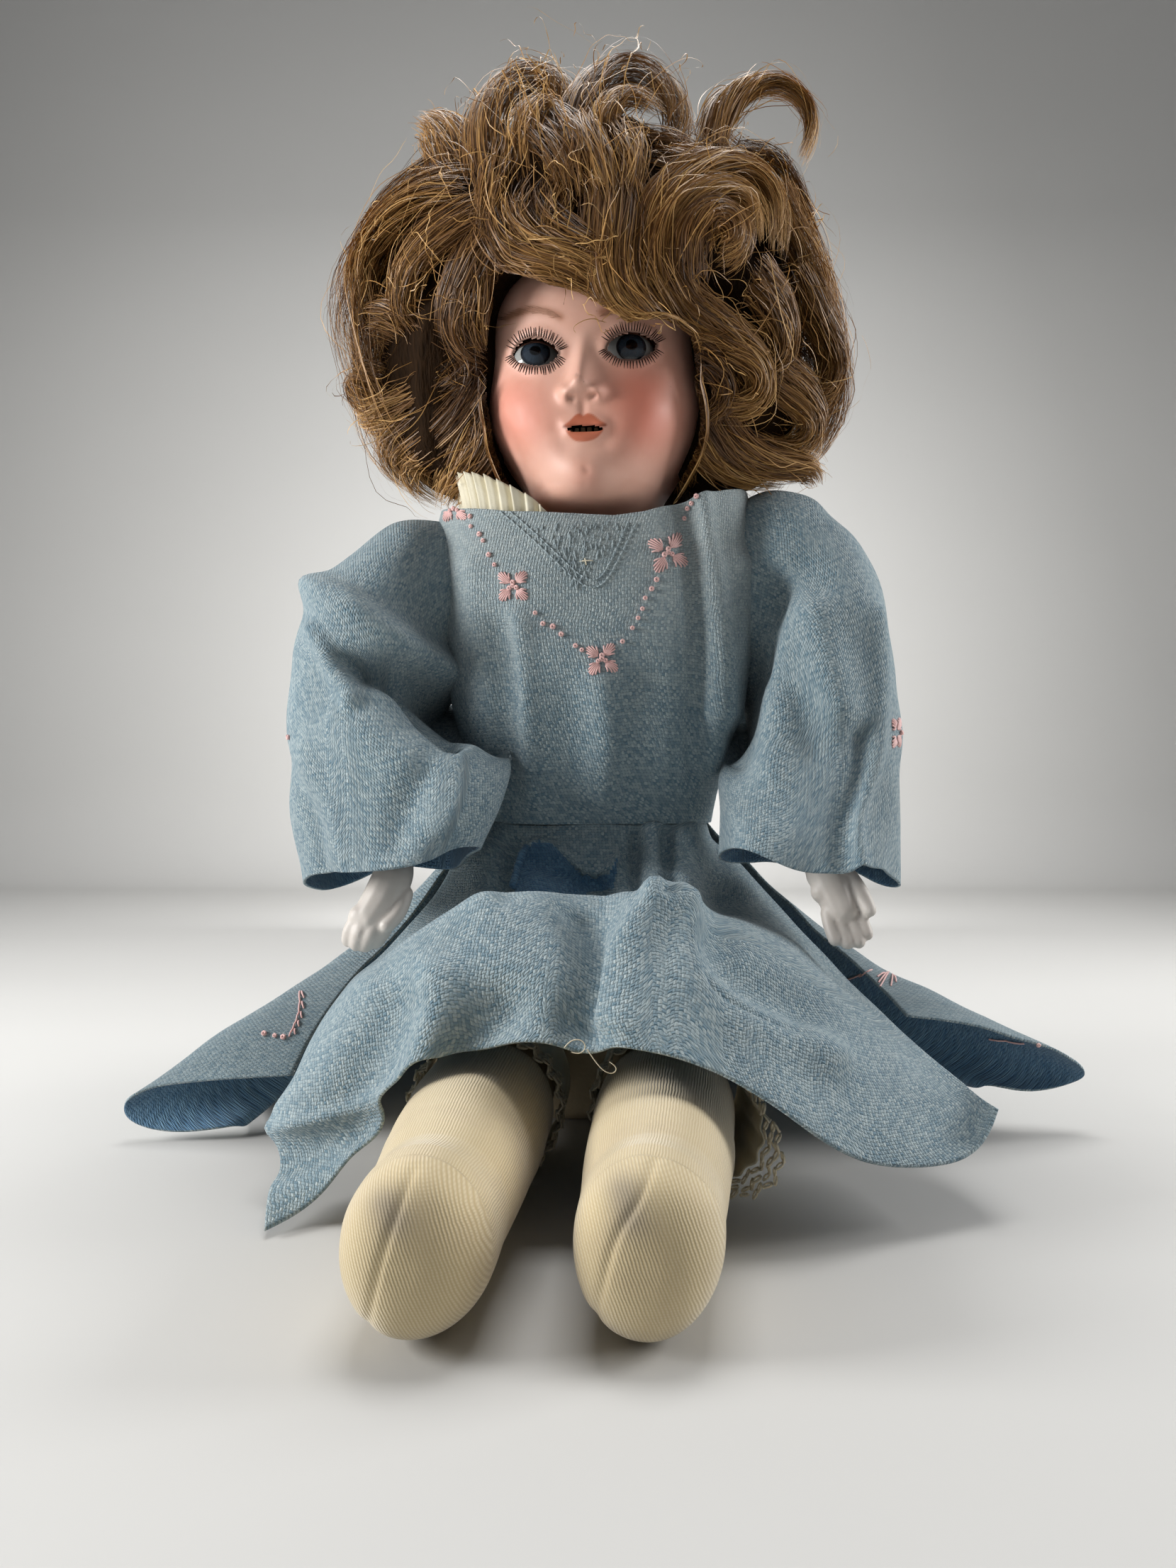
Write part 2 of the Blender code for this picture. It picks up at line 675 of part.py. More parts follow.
plate = loft("shoulder_plate", plate_rings, WHITE_BISQUE)
cup = ball("neck_cup", cup_radius, NECK_PIVOT, None, 24, cutter=True)
cut(plate, cup)
cup_hole = cylinder(
    "cup_hole",
    NECK_HOLE_RADIUS,
    NECK_PIVOT - Vector((0, 0, CUT_REACH)),
    NECK_PIVOT,
    None,
    cutter=True,
)
cut(plate, cup_hole)

# Legs: stuffed cloth, round at the hip, with a blunt upturned foot
LEG_STEPS = 16
HIP_END_ANGLES = (75, 50, 25, 0)
LEG_SECTIONS = [
    # distance from the hip, half width, half height in millimetres
    (40, 20.5, 20.5),
    (64, 20.2, 20.2),
    (86, 20.0, 20.0),
    (110, 19.0, 19.4),
    (122, 18.4, 19.0),
    (140, 16.8, 18.6),
    (154, 16.2, 19.6),
    (165, 15.4, 19.8),
    (171, 11.5, 15.5),
    (174, 0, 15.5),
]
LEGS = {
    # how far each hip and each toe lies from the middle
    "left": (30 * MM, 11 * MM),
    "right": (-28 * MM, -40 * MM),
}
thigh_bottom = HIP_HEIGHT - THIGH_RADIUS
SHIN_LEVEL, HEEL_LEVEL = 122, 145


def along_leg(level):
    """Distance from the hip of a level in the table above."""
    return LEG_LENGTH * level / LEG_SECTIONS[-1][0]


def leg_bottom(distance):
    """Height of the underside: it comes down to the foot beyond the drawers."""
    shin, heel = along_leg(SHIN_LEVEL), along_leg(HEEL_LEVEL)
    share = min(max((distance - shin) / (heel - shin), 0), 1)
    return thigh_bottom + (FOOT_BOTTOM - thigh_bottom) * share


def leg_ring(side, distance, half_width, half_height, grow=0.0):
    hip_x, toe_x = LEGS[side]
    x = hip_x + (toe_x - hip_x) * distance / LEG_LENGTH
    center = Vector((x, HIP_Y - distance, leg_bottom(distance) + half_height))
    across, up = Vector((half_width + grow, 0, 0)), Vector((0, 0, half_height + grow))
    return oval(center, across, up, LEG_STEPS)


def leg_section(distance):
    """Half width and half height of the leg at a distance from the hip, between its sections."""
    for (start, w0, h0), (end, w1, h1) in zip(LEG_SECTIONS, LEG_SECTIONS[1:]):
        near, far = along_leg(start), along_leg(end)
        if near <= distance <= far:
            share = (distance - near) / (far - near)
            return (w0 + (w1 - w0) * share) * MM, (h0 + (h1 - h0) * share) * MM
    return LEG_SECTIONS[0][1] * MM, LEG_SECTIONS[0][2] * MM


for side, (hip_x, toe_x) in LEGS.items():
    hip_pivot = pivot(side + "_hip_pivot", (hip_x, HIP_Y, HIP_HEIGHT))
    rings = []
    for angle in HIP_END_ANGLES:
        behind = THIGH_RADIUS * math.sin(math.radians(angle))
        radius = THIGH_RADIUS * math.cos(math.radians(angle))
        center = Vector((hip_x, HIP_Y + behind, HIP_HEIGHT))
        rings.append(oval(center, Vector((radius, 0, 0)), Vector((0, 0, radius)), LEG_STEPS))
    levels = [along_leg(section[0]) for section in LEG_SECTIONS[:-1]]
    rings += [leg_ring(side, distance, *leg_section(distance)) for distance in levels]
    toe = Vector((toe_x, HIP_Y - LEG_LENGTH, leg_bottom(LEG_LENGTH) + LEG_SECTIONS[-1][2] * MM))
    leg = loft(side + "_stuffed_leg", rings, MUSLIN, tip=toe)

    worn = [STOCKING_START] + [distance for distance in levels if distance > STOCKING_START + FIT]
    stocking_rings = [leg_ring(side, distance, *leg_section(distance), FIT) for distance in worn]
    toe_end = toe - Vector((0, FIT * 2, 0))
    stocking = loft(side + "_stocking", stocking_rings, STOCKING, tip=toe_end, closed=False)
    thicken(stocking, STOCKING_WALL, outward=True)

    under = FIT + STOCKING_WALL + FIT
    drawers_rings = []
    for share in (0, 0.33, 0.67, 1):
        distance = DRAWERS_START + (DRAWERS_END - DRAWERS_START) * share
        drawers_rings.append(leg_ring(side, distance, *leg_section(distance), under))
    drawers = loft(side + "_drawers_leg", drawers_rings, LACE, closed=False)
    thicken(drawers, DRAWERS_WALL, outward=True)

    lace_rings = []
    for share in (0, 1):
        distance = DRAWERS_END + FIT + LACE_LENGTH * share
        ring = leg_ring(side, distance, *leg_section(distance), under + FIT)
        lace_rings.append(ring)
    lace = loft(side + "_drawers_lace", lace_rings, LACE, closed=False)
    thicken(lace, LACE_WALL, outward=True)
    for obj in (leg, stocking, drawers, lace):
        keep_place(obj, hip_pivot)

# Arms: stuffed upper arms with bisque forearms and hands, from the shoulder down to the lap
ARM_PATH = [
    # out and forward from the shoulder and level in millimetres, half width and half thickness
    ((0, 0, 200), 10.0, 10.0),
    ((8.9, 0, 200), 12.0, 12.0),
    ((20.9, -4, 190), 12.0, 12.0),
    ((29.9, -11, 172), 11.5, 11.5),
    ((34.4, -19, 152), 10.5, 10.5),
    ((32.4, -31, 134), 9.3, 9.3),
    ((28.9, -45, 112), 8.6, 8.6),
    ((26.4, -54, 98), 7.2, 7.0),
    ((25.4, -59, 89), 10.0, 6.0),
    ((24.9, -62, 80), 11.5, 6.0),
    ((24.9, -63.5, 74), 9.0, 5.0),
    ((24.9, -64, 70.5), 5.0, 3.5),
]
ELBOW_STEPS = 4
ARMPIT_LEVEL, CUFF_LEVEL = 170, 90
HAND_OUT = {"left": 10 * MM, "right": 0.0}
SIDES = {"left": 1, "right": -1}


def arm_place(side, root_x, out, forward, level):
    """A place on an arm or sleeve. The left hand lies further out than the right one."""
    top, bottom = ARM_PATH[0][0][2], ARM_PATH[-1][0][2]
    down = min(max((ARMPIT_LEVEL - level) / (ARMPIT_LEVEL - CUFF_LEVEL), 0), 1)
    x = root_x + out * MM + HAND_OUT[side] * down
    z = HAND_HEIGHT + (SHOULDER_HEIGHT - HAND_HEIGHT) * (level - bottom) / (top - bottom)
    return Vector((SIDES[side] * x, SHOULDER_Y + forward * MM, z))


shoulder_pivots = {}
for side in SIDES:
    shoulder_pivots[side] = pivot(
        side + "_shoulder_pivot", (SIDES[side] * ARM_ROOT_X, SHOULDER_Y, SHOULDER_HEIGHT)
    )
    places = [arm_place(side, ARM_ROOT_X, *place) for place, _, _ in ARM_PATH]
    rings = []
    for i, place in enumerate(places):
        ahead = places[min(i + 1, len(places) - 1)] - places[max(i - 1, 0)]
        across = ahead.cross(Vector((0, 1, 0))).normalized()
        other = ahead.cross(across).normalized()
        rings.append(oval(place, across * ARM_PATH[i][1] * MM, other * ARM_PATH[i][2] * MM, 12))
    upper_arm = loft(side + "_upper_arm", rings[: ELBOW_STEPS + 1], MUSLIN)
    step = (places[ELBOW_STEPS + 1] - places[ELBOW_STEPS - 1]).normalized() * FIT
    elbow = places[ELBOW_STEPS]
    elbow_ring = [elbow + (point - elbow) * 0.9 + step for point in rings[ELBOW_STEPS]]
    forearm = loft(side + "_forearm", [elbow_ring] + rings[ELBOW_STEPS + 1 :], WHITE_BISQUE)
    for obj in (upper_arm, forearm):
        keep_place(obj, shoulder_pivots[side])

# Dress bodice: a loose tube of cloth from the waist seam to the boat neckline
BODICE_SECTIONS = [
    # share of the way from the waist to the shoulders, drawing in of the sides,
    # and front and back depth in millimetres, below the neckline
    (1.11, 0.5, 47.0, 31.0),
    (0.89, 0, 50.0, 35.0),
    (0.56, 0, 50.0, 36.0),
    (0.22, 0, 46.0, 34.0),
]
NECKLINE_INSET = 2 * MM
NECKLINE_HALF_WIDTH = BODICE_HALF_WIDTH - NECKLINE_INSET
NECKLINE_FRONT = 44 * MM
NECKLINE_BACK = 26 * MM
BODICE_STEPS = 28
BODICE_SQUARENESS = 4
WAIST_SQUARENESS = 2.6


def neckline_ring(inset, drop, rise):
    """The neckline, moved in and down. It rises towards the shoulders."""
    ring = uneven_oval(
        NECKLINE_HEIGHT - drop,
        NECKLINE_HALF_WIDTH - inset,
        NECKLINE_FRONT - inset,
        NECKLINE_BACK - inset,
        BODICE_STEPS,
        BODICE_SQUARENESS,
    )
    for point in ring:
        point.z += rise * abs(point.x / NECKLINE_HALF_WIDTH) ** 8
    return ring


bodice_rings = [neckline_ring(0, 0, NECKLINE_SIDE_RISE)]
for share, drawn_in, front, back in BODICE_SECTIONS:
    height = WAIST_HEIGHT + (SHOULDER_HEIGHT - WAIST_HEIGHT) * share
    half_width = BODICE_HALF_WIDTH - drawn_in * MM
    bodice_rings.append(
        uneven_oval(height, half_width, front * MM, back * MM, BODICE_STEPS, BODICE_SQUARENESS)
    )
waist_sizes = (WAIST_HALF_WIDTH, WAIST_FRONT, WAIST_BACK)
bodice_rings.append(uneven_oval(WAIST_HEIGHT + FIT, *waist_sizes, BODICE_STEPS, WAIST_SQUARENESS))
bodice = loft("dress_bodice", bodice_rings, DRESS, closed=False)
thicken(bodice, CLOTH)
for side, sign in SIDES.items():
    armhole = cylinder(
        side + "_armhole",
        ARMHOLE_RADIUS,
        Vector((sign * (BODICE_HALF_WIDTH - ARMHOLE_RADIUS), SHOULDER_Y, SHOULDER_HEIGHT)),
        Vector((sign * (BODICE_HALF_WIDTH + ARMHOLE_RADIUS), SHOULDER_Y, SHOULDER_HEIGHT)),
        None,
        20,
        cutter=True,
    )
    cut(bodice, armhole)

# Chemise collar: a ruffled band inside the neckline, standing up at the doll's right
collar_rings = []
for level in (1, 0.5, 0):
    ring = neckline_ring(CLOTH + FIT, COLLAR_DROP * (1 - level), NECKLINE_SIDE_RISE * level)
    for i, point in enumerate(ring):
        toward_right = max(0.0, -point.x / NECKLINE_HALF_WIDTH) ** 2
        point.z += COLLAR_RISE * level * toward_right * (0.85 + 0.15 * (-1) ** i) - COLLAR_WALL
    collar_rings.append(ring)
collar = loft("chemise_collar", collar_rings, COLLAR, closed=False)
thicken(collar, COLLAR_WALL)

# Sleeves: full, set against the bodice's sides, bent forward to an open cuff, creased at the elbow
SLEEVE_SECTIONS = [
    # center out, forward, level; half depth forward and up; half reach out and up, in millimetres
    ((0, 0, 184), (31, 0), (0, 47)),
    ((14, -2, 182), (34, 0), (13, 48)),
    ((32, -9, 166), (36, 2), (30, 32)),
    ((33, -19, 146), (34, 6), (31, 10)),
    ((31, -33, 123), (29, 10), (30, 3)),
    ((26, -47, 105), (24, 9), (30, 0)),
    ((23, -53, 95), (21, 8), (30, 0)),
]
SLEEVE_STEPS = 20
CREASED_STEPS = (2, 3, 4)
CREASE_DEPTH = 3 * MM
CREASE_TURN = math.radians(190)
for side, sign in SIDES.items():
    sections = []
    for place, (depth, lift), (reach, height) in SLEEVE_SECTIONS:
        center = arm_place(side, BODICE_HALF_WIDTH + SLEEVE_GAP, *place)
        along = Vector((0, depth, lift)) * MM
        outward = Vector((sign * reach, 0, height)) * MM
        sections.append([center] + oval(center, along, outward, SLEEVE_STEPS))
    rings = []
    for step, section in enumerate(sections):
        rings.append(section[1:])
        if step in CREASED_STEPS:
            middle, *ring = [here.lerp(there, 0.5) for here, there in zip(section, sections[step + 1])]
            for i, point in enumerate(ring):
                turn = 2 * math.pi * i / SLEEVE_STEPS - CREASE_TURN
                point += (middle - point).normalized() * CREASE_DEPTH * max(0.0, math.cos(turn)) ** 2
            rings.append(ring)
    sleeve = loft(side + "_sleeve", rings, DRESS, closed=False)
    thicken(sleeve, CLOTH).use_even_offset = False
    keep_place(sleeve, shoulder_pivots[side])

# Skirt: gores from the waist seam over the lap to the hem, each given by the same five places
FRONT_GORES = [
    # waist, under the waist, lap, slope and hem, in millimetres, from the doll's right to its left
    ((-43, -14, 110), (-61, -36, 76), (-85, -56, 56), (-98, -98, 22), (-89, -137, 3)),
    ((-40, -24, 110), (-57, -50, 75), (-80, -76, 60), (-86, -108, 34), (-76, -124, 6)),
    ((-32, -33, 110), (-46, -60, 79), (-64, -90, 72), (-68, -114, 54), (-64, -126, 28)),
    ((-20, -37, 110), (-29, -66, 85), (-44, -94, 88), (-48, -120, 70), (-48, -136, 53)),
    ((-8, -39.5, 110), (-10, -68, 83), (-18, -98, 92), (-20, -124, 76), (-22, -138, 56)),
    ((4, -40, 110), (8, -68, 83), (8, -99, 92), (6, -128, 76), (4, -146, 56)),
    ((17, -38, 110), (26, -66, 85), (34, -98, 88), (34, -128, 70), (34, -152, 54)),
    ((29, -34.5, 110), (42, -60, 86), (56, -93, 79), (58, -122, 54), (60, -146, 30)),
    ((37, -28, 110), (55, -50, 84), (74, -86, 66), (80, -114, 40), (78, -138, 19)),
    ((42, -18, 110), (66, -38, 79), (96, -72, 47), (108, -102, 27), (109, -126, 17)),
    ((44, -10, 110), (71, -29, 77), (105, -63, 39), (117, -94, 29), (116, -119, 31)),
]
BACK_GORES = [
    # the same five places, from the doll's left round the back to its right
    # each side flap doubles under at its tip
    ((44.6, -6, 110), (73, -22, 80), (96, -44, 58), (103, -56, 52), (107, -62, 46)),
    ((44.6, -5, 110), (74, -18, 78), (106, -38, 56), (126, -50, 48), (138, -56, 41)),
    ((44.6, -2, 110), (74, -11, 76), (120, -25, 50), (164, -34, 32), (188, -38, 22)),
    ((44.4, 0, 110), (72, -5, 74), (112, -16, 38), (146, -30, 18), (163, -40, 12)),
    ((44.2, 2, 110), (70, 0, 73), (100, -12, 34), (118, -28, 20), (130, -40, 18)),
    ((44, 4, 110), (70, 4, 74), (112, 6, 38), (138, 8, 14), (150, 10, 4)),
    ((40, 16, 110), (62, 26, 70), (98, 42, 34), (124, 54, 12), (134, 58, 4)),
    ((27, 27, 110), (42, 46, 68), (62, 72, 32), (76, 90, 11), (80, 96, 4)),
    ((0, 32, 110), (0, 58, 66), (0, 86, 30), (0, 102, 11), (0, 108, 4)),
    ((-27, 27, 110), (-42, 46, 68), (-62, 72, 32), (-76, 90, 11), (-80, 96, 4)),
    ((-40, 16, 110), (-62, 26, 70), (-98, 42, 34), (-124, 54, 12), (-134, 58, 4)),
    ((-44, 3, 110), (-68, 0, 74), (-108, -2, 40), (-136, 0, 14), (-146, 2, 4)),
    ((-44.4, 0, 110), (-66, -8, 72), (-92, -22, 34), (-104, -36, 12), (-112, -48, 5)),
    ((-44.6, -2, 110), (-68, -12, 72), (-101, -28, 33), (-126, -42, 8), (-140, -53, 2.5)),
    ((-44.6, -3, 110), (-69.5, -14.5, 75), (-107, -32, 39), (-146, -43.5, 14), (-164, -51, 5)),
    ((-44.6, -5, 110), (-70, -17.5, 79), (-108, -34, 50), (-146, -44.5, 30), (-163, -51, 19)),
    ((-44.6, -7.5, 110), (-68, -21.5, 78), (-100, -38.5, 55), (-122, -47, 38), (-134, -55, 22)),
    ((-44.4, -10, 110), (-65, -25, 75), (-87, -43, 54), (-98, -50, 37), (-103, -53, 23)),
]
FRONT_FOLDS = 6
BACK_FOLDS = 10
FOLD_DEPTH = 3 * MM
BACK_FOLD_START = -10 * MM
BACK_FOLD_EASE = 40 * MM
FRONT_COLUMN_STEPS = 40
BACK_COLUMN_STEPS = 72
SKIRT_ROW_STEPS = 8


def skirt_grid(gores, column_steps):
    """Rows of places from the waist seam to the hem, smoothed along and across the gores."""
    paths = []
    for gore in gores:
        places = [Vector(place) * MM for place in gore]
        places[0].z = WAIST_HEIGHT
        paths.append([eased(places, step / SKIRT_ROW_STEPS) for step in range(SKIRT_ROW_STEPS + 1)])
    columns = [step / column_steps for step in range(column_steps + 1)]
    return [[eased(row, share) for share in columns] for row in zip(*paths)]


def fold(share, folds):
    """The swing of the folds at a share of the panel's width: none at its two edges."""
    return FOLD_DEPTH * math.sin(2 * math.pi * folds * share) * (1 - (2 * share - 1) ** 4)


def skirt_panel(name, grid):
    bm = bmesh.new()
    rows = [[bm.verts.new(point) for point in row] for row in grid]
    for upper, lower in zip(rows, rows[1:]):
        for j in range(len(upper) - 1):
            bm.faces.new((upper[j], lower[j], lower[j + 1], upper[j + 1]))
    panel = add_mesh(name, bm, DRESS)
    thicken(panel, CLOTH).use_even_offset = False


front_grid = skirt_grid(FRONT_GORES, FRONT_COLUMN_STEPS)
lifted = [[point.copy() for point in row] for row in front_grid]
for k in range(1, SKIRT_ROW_STEPS):
    for j in range(1, FRONT_COLUMN_STEPS):
        down = front_grid[k + 1][j] - front_grid[k - 1][j]
        across = front_grid[k][j + 1] - front_grid[k][j - 1]
        rise = math.sin(math.pi * k / SKIRT_ROW_STEPS)
        lifted[k][j] += down.cross(across).normalized() * fold(j / FRONT_COLUMN_STEPS, FRONT_FOLDS) * rise
skirt_panel("dress_skirt_front", lifted)

back_grid = skirt_grid(BACK_GORES, BACK_COLUMN_STEPS)
for k, row in enumerate(back_grid):
    for j, point in enumerate(row):
        outward = Vector((point.x, point.y, 0)).normalized()
        behind = min(1.0, max(0.0, (point.y - BACK_FOLD_START) / BACK_FOLD_EASE))
        point += outward * fold(j / BACK_COLUMN_STEPS, BACK_FOLDS) * behind * k / SKIRT_ROW_STEPS
skirt_panel("dress_skirt_back", back_grid)
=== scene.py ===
"""The looks of a seated bisque doll: glass eyes, mohair wig, embroidered crepe dress and knit stockings.

Metres, +Z up. The doll faces -Y, and its own left side is +X, which the camera sees on the right.
"""

import math

import bmesh
import bpy
import numpy as np
from mathutils import Matrix, Vector
from mathutils import noise as wander
from mathutils.bvhtree import BVHTree


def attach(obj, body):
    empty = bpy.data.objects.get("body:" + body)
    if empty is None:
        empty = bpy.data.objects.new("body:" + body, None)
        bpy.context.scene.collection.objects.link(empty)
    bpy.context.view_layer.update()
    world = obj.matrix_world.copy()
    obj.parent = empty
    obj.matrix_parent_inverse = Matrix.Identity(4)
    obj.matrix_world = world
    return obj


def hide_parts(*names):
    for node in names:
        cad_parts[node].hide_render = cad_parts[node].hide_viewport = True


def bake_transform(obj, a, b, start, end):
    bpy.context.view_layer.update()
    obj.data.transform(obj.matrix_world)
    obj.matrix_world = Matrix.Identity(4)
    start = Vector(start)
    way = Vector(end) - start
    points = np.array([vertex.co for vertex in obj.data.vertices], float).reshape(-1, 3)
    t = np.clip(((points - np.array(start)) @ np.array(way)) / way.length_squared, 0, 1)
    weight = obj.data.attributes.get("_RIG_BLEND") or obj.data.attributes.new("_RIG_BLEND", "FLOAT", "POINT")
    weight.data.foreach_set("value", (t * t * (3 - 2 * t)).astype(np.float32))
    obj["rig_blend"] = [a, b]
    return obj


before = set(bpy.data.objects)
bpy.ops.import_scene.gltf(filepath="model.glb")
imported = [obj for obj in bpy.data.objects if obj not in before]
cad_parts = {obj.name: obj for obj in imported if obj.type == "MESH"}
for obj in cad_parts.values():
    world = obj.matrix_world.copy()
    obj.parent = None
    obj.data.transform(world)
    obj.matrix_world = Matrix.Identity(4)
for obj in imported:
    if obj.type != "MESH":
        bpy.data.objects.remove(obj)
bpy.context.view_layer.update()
scene = bpy.context.scene
scene.view_settings.view_transform = "Standard"
MM = 0.001

# Camera, floor and light
# The doll is seen level, from close in front of its lap, on a pale paper sweep that turns up into a wall.
# Two soft boxes stand at its sides and one hangs over it, so that the middle of the front stays in soft
# shade, and a fourth lights the wall behind it.
IMAGE_WIDTH = 1659
IMAGE_HEIGHT = 2212
FOCAL_PIXELS = 1597
CAMERA_PLACE = Vector((-0.001, -0.445, 0.124))
SENSOR = 36.0


def shown(name, data):
    """A new object in the scene."""
    obj = bpy.data.objects.new(name, data)
    scene.collection.objects.link(obj)
    return obj


camera_data = bpy.data.cameras.new("camera")
camera_data.sensor_width = SENSOR
camera_data.lens = SENSOR * FOCAL_PIXELS / IMAGE_HEIGHT
camera_data.clip_start = 0.02
camera = shown("camera", camera_data)
camera.location = CAMERA_PLACE
camera.rotation_euler = (math.radians(90), 0, 0)
scene.camera = camera


def linear(hex_colour):
    """sRGB hex to the linear values that a shader takes."""
    channels = [int(hex_colour[i : i + 2], 16) / 255 for i in (0, 2, 4)]
    return [c / 12.92 if c <= 0.04045 else ((c + 0.055) / 1.055) ** 2.4 for c in channels] + [1.0]


def add(tree, kind, inputs=None, **settings):
    """Adds a node with its settings; inputs holds values, or sockets to link from."""
    added = tree.nodes.new(kind)
    for name, value in settings.items():
        setattr(added, name, value)
    for name, value in (inputs or {}).items():
        if isinstance(value, bpy.types.NodeSocket):
            tree.links.new(value, added.inputs[name])
        else:
            added.inputs[name].default_value = value
    return added


class Finish:
    """A Principled material, with short ways to add what its colour and relief come from, as sockets."""

    def __init__(self, name, hex_colour, roughness, **sockets):
        self.material = bpy.data.materials.new(name)
        self.material.use_nodes = True
        self.tree = self.material.node_tree
        self.shader = self.tree.nodes["Principled BSDF"]
        for socket, value in {"Base_Color": linear(hex_colour), "Roughness": roughness, **sockets}.items():
            self.shader.inputs[socket.replace("_", " ")].default_value = value

    def node(self, kind, inputs=None, output=0, **settings):
        return add(self.tree, "ShaderNode" + kind, inputs, **settings).outputs[output]

    def place(self):
        """Places on the piece, in metres."""
        return self.node("TexCoord", output="Object")

    def cloth(self):
        """Places on the flat cloth, in metres."""
        return self.node("UVMap", uv_map="cloth")

    def noise(self, where, scale, detail=2.0, roughness=0.5, output="Fac"):
        inputs = {"Vector": where, "Scale": scale, "Detail": detail, "Roughness": roughness}
        return self.node("TexNoise", inputs, output)

    def span(self, value, low, high, first=0.0, last=1.0):
        """A value that runs from first to last while another runs from low to high."""
        return self.node("MapRange", {0: value, 1: low, 2: high, 3: first, 4: last})

    def count(self, operation, *values, kind="Math", **settings):
        return self.node(kind, dict(enumerate(values)), operation=operation, **settings)

    def mask(self, name):
        """A value that the mesh keeps at each point."""
        return self.node("Attribute", output="Fac", attribute_name=name)

    def mix(self, share, first, second):
        """The colour between two, each a hex colour or a socket."""
        first, second = (linear(colour) if isinstance(colour, str) else colour for colour in (first, second))
        return self.node("Mix", {0: share, 6: first, 7: second}, 2, data_type="RGBA")

    def show(self, socket, value):
        self.tree.links.new(value, self.shader.inputs[socket])

    def mottled(self, where, scale, detail, first, second):
        """Lets the colour wander between two."""
        self.show("Base Color", self.mix(self.noise(where, scale, detail), first, second))

    def bump(self, height, strength, distance):
        self.show("Normal", self.node("Bump", {"Height": height, "Strength": strength, "Distance": distance}))


def plain_mesh(name, points, faces, finish):
    """A smooth piece of points and faces, in one finish."""
    mesh = bpy.data.meshes.new(name)
    mesh.from_pydata([tuple(p) for p in points], [], [tuple(f) for f in faces])
    mesh.materials.append(finish.material)
    mesh.shade_smooth()
    return shown(name, mesh)


paper = Finish("white_paper_sweep", "C6C5C2", 0.9)
paper.show("Base Color", paper.mix(paper.node("TexNoise", {"Scale": 9.0, "Detail": 2.0}), "C2C1BE", "CAC9C6"))
SWEEP_HALF_WIDTH = 2.6
SWEEP_FRONT = -1.6
WALL_Y = 1.0
WALL_HEIGHT = 2.4
CORNER_RADIUS = 0.12
CORNER_STEPS = 8
sweep_profile = [(SWEEP_FRONT, 0.0), (-0.4, 0.0), (0.4, 0.0)]
for angle in (math.pi / 2 * i / CORNER_STEPS for i in range(CORNER_STEPS + 1)):
    y = WALL_Y - CORNER_RADIUS + CORNER_RADIUS * math.sin(angle)
    sweep_profile.append((y, CORNER_RADIUS * (1 - math.cos(angle))))
sweep_profile.append((WALL_Y, WALL_HEIGHT))
sweep_points = [(x, y, z) for y, z in sweep_profile for x in (-SWEEP_HALF_WIDTH, SWEEP_HALF_WIDTH)]
sweep_faces = [(2 * i, 2 * i + 1, 2 * i + 3, 2 * i + 2) for i in range(len(sweep_profile) - 1)]
plain_mesh("paper_sweep", sweep_points, sweep_faces, paper)

# Place, size in metres, power in watts, and the place that each lamp is aimed at.
DOLL_MIDDLE = (0, -0.04, 0.17)
LAMPS = {
    "left_softbox": ((-0.80, -0.24, 0.36), 0.34, 8.0, DOLL_MIDDLE),
    "right_softbox": ((0.76, 0.02, 0.42), 0.36, 4.6, DOLL_MIDDLE),
    "top_softbox": ((0.0, 0.16, 1.05), 0.6, 8.4, DOLL_MIDDLE),
    "wall_softbox": ((0.0, 0.45, 0.12), 0.22, 2.8, (0, 1.0, 0.42)),
}
for name, (place, size, power, aim) in LAMPS.items():
    lamp = bpy.data.lights.new(name, "AREA")
    lamp.size = size
    lamp.energy = power
    softbox = shown(name, lamp)
    softbox.location = place
    softbox.rotation_euler = (Vector(aim) - Vector(place)).to_track_quat("-Z", "Y").to_euler()
world = bpy.data.worlds.new("studio")
world.use_nodes = True
world.node_tree.nodes["Background"].inputs["Color"].default_value = linear("E6E8EC")
world.node_tree.nodes["Background"].inputs["Strength"].default_value = 0.18
scene.world = world

# Stuffed torso and upper arms
# Bags of unbleached muslin, packed hard with wood wool and sewn shut, with the shoulder plate glued on top.
# Clothes hide nearly all of them; the cloth shows its slubs and the dents that the packing leaves.
muslin = Finish("unbleached_muslin", "D8C9AC", 0.9, Sheen_Weight=0.15)
place = muslin.place()
muslin.mottled(place, 40.0, 4.0, "C7B491", "E2D6BC")
muslin.bump(muslin.noise(place, 900.0, 3.0), 0.5, 0.0004)


def oval(middle, across, along, count, squareness=2.0):
    """A ring of points round a middle, from its two half axes; above 2 the ring is squarer."""
    turn = np.linspace(0, 2 * np.pi, count, endpoint=False)
    share = [np.sign(f(turn)) * np.abs(f(turn)) ** (2 / squareness) for f in (np.cos, np.sin)]
    return np.array(middle) + np.outer(share[0], across) + np.outer(share[1], along)


def eased(points, count):
    """Points along a smooth path that keeps its ends, along the first axis of an array."""
    points = np.asarray(points, float)
    padded = np.concatenate([2 * points[:1] - points[1:2], points, 2 * points[-1:] - points[-2:-1]])
    share = np.linspace(0, len(points) - 1, count)
    i = np.minimum(share.astype(int), len(points) - 2)
    t = (share - i).reshape(-1, *[1] * (points.ndim - 1))
    before = (1 - t) ** 3 * padded[i] + (3 * t**3 - 6 * t**2 + 4) * padded[i + 1]
    after = (-3 * t**3 + 3 * t**2 + 3 * t + 1) * padded[i + 2] + t**3 * padded[i + 3]
    return (before + after) / 6


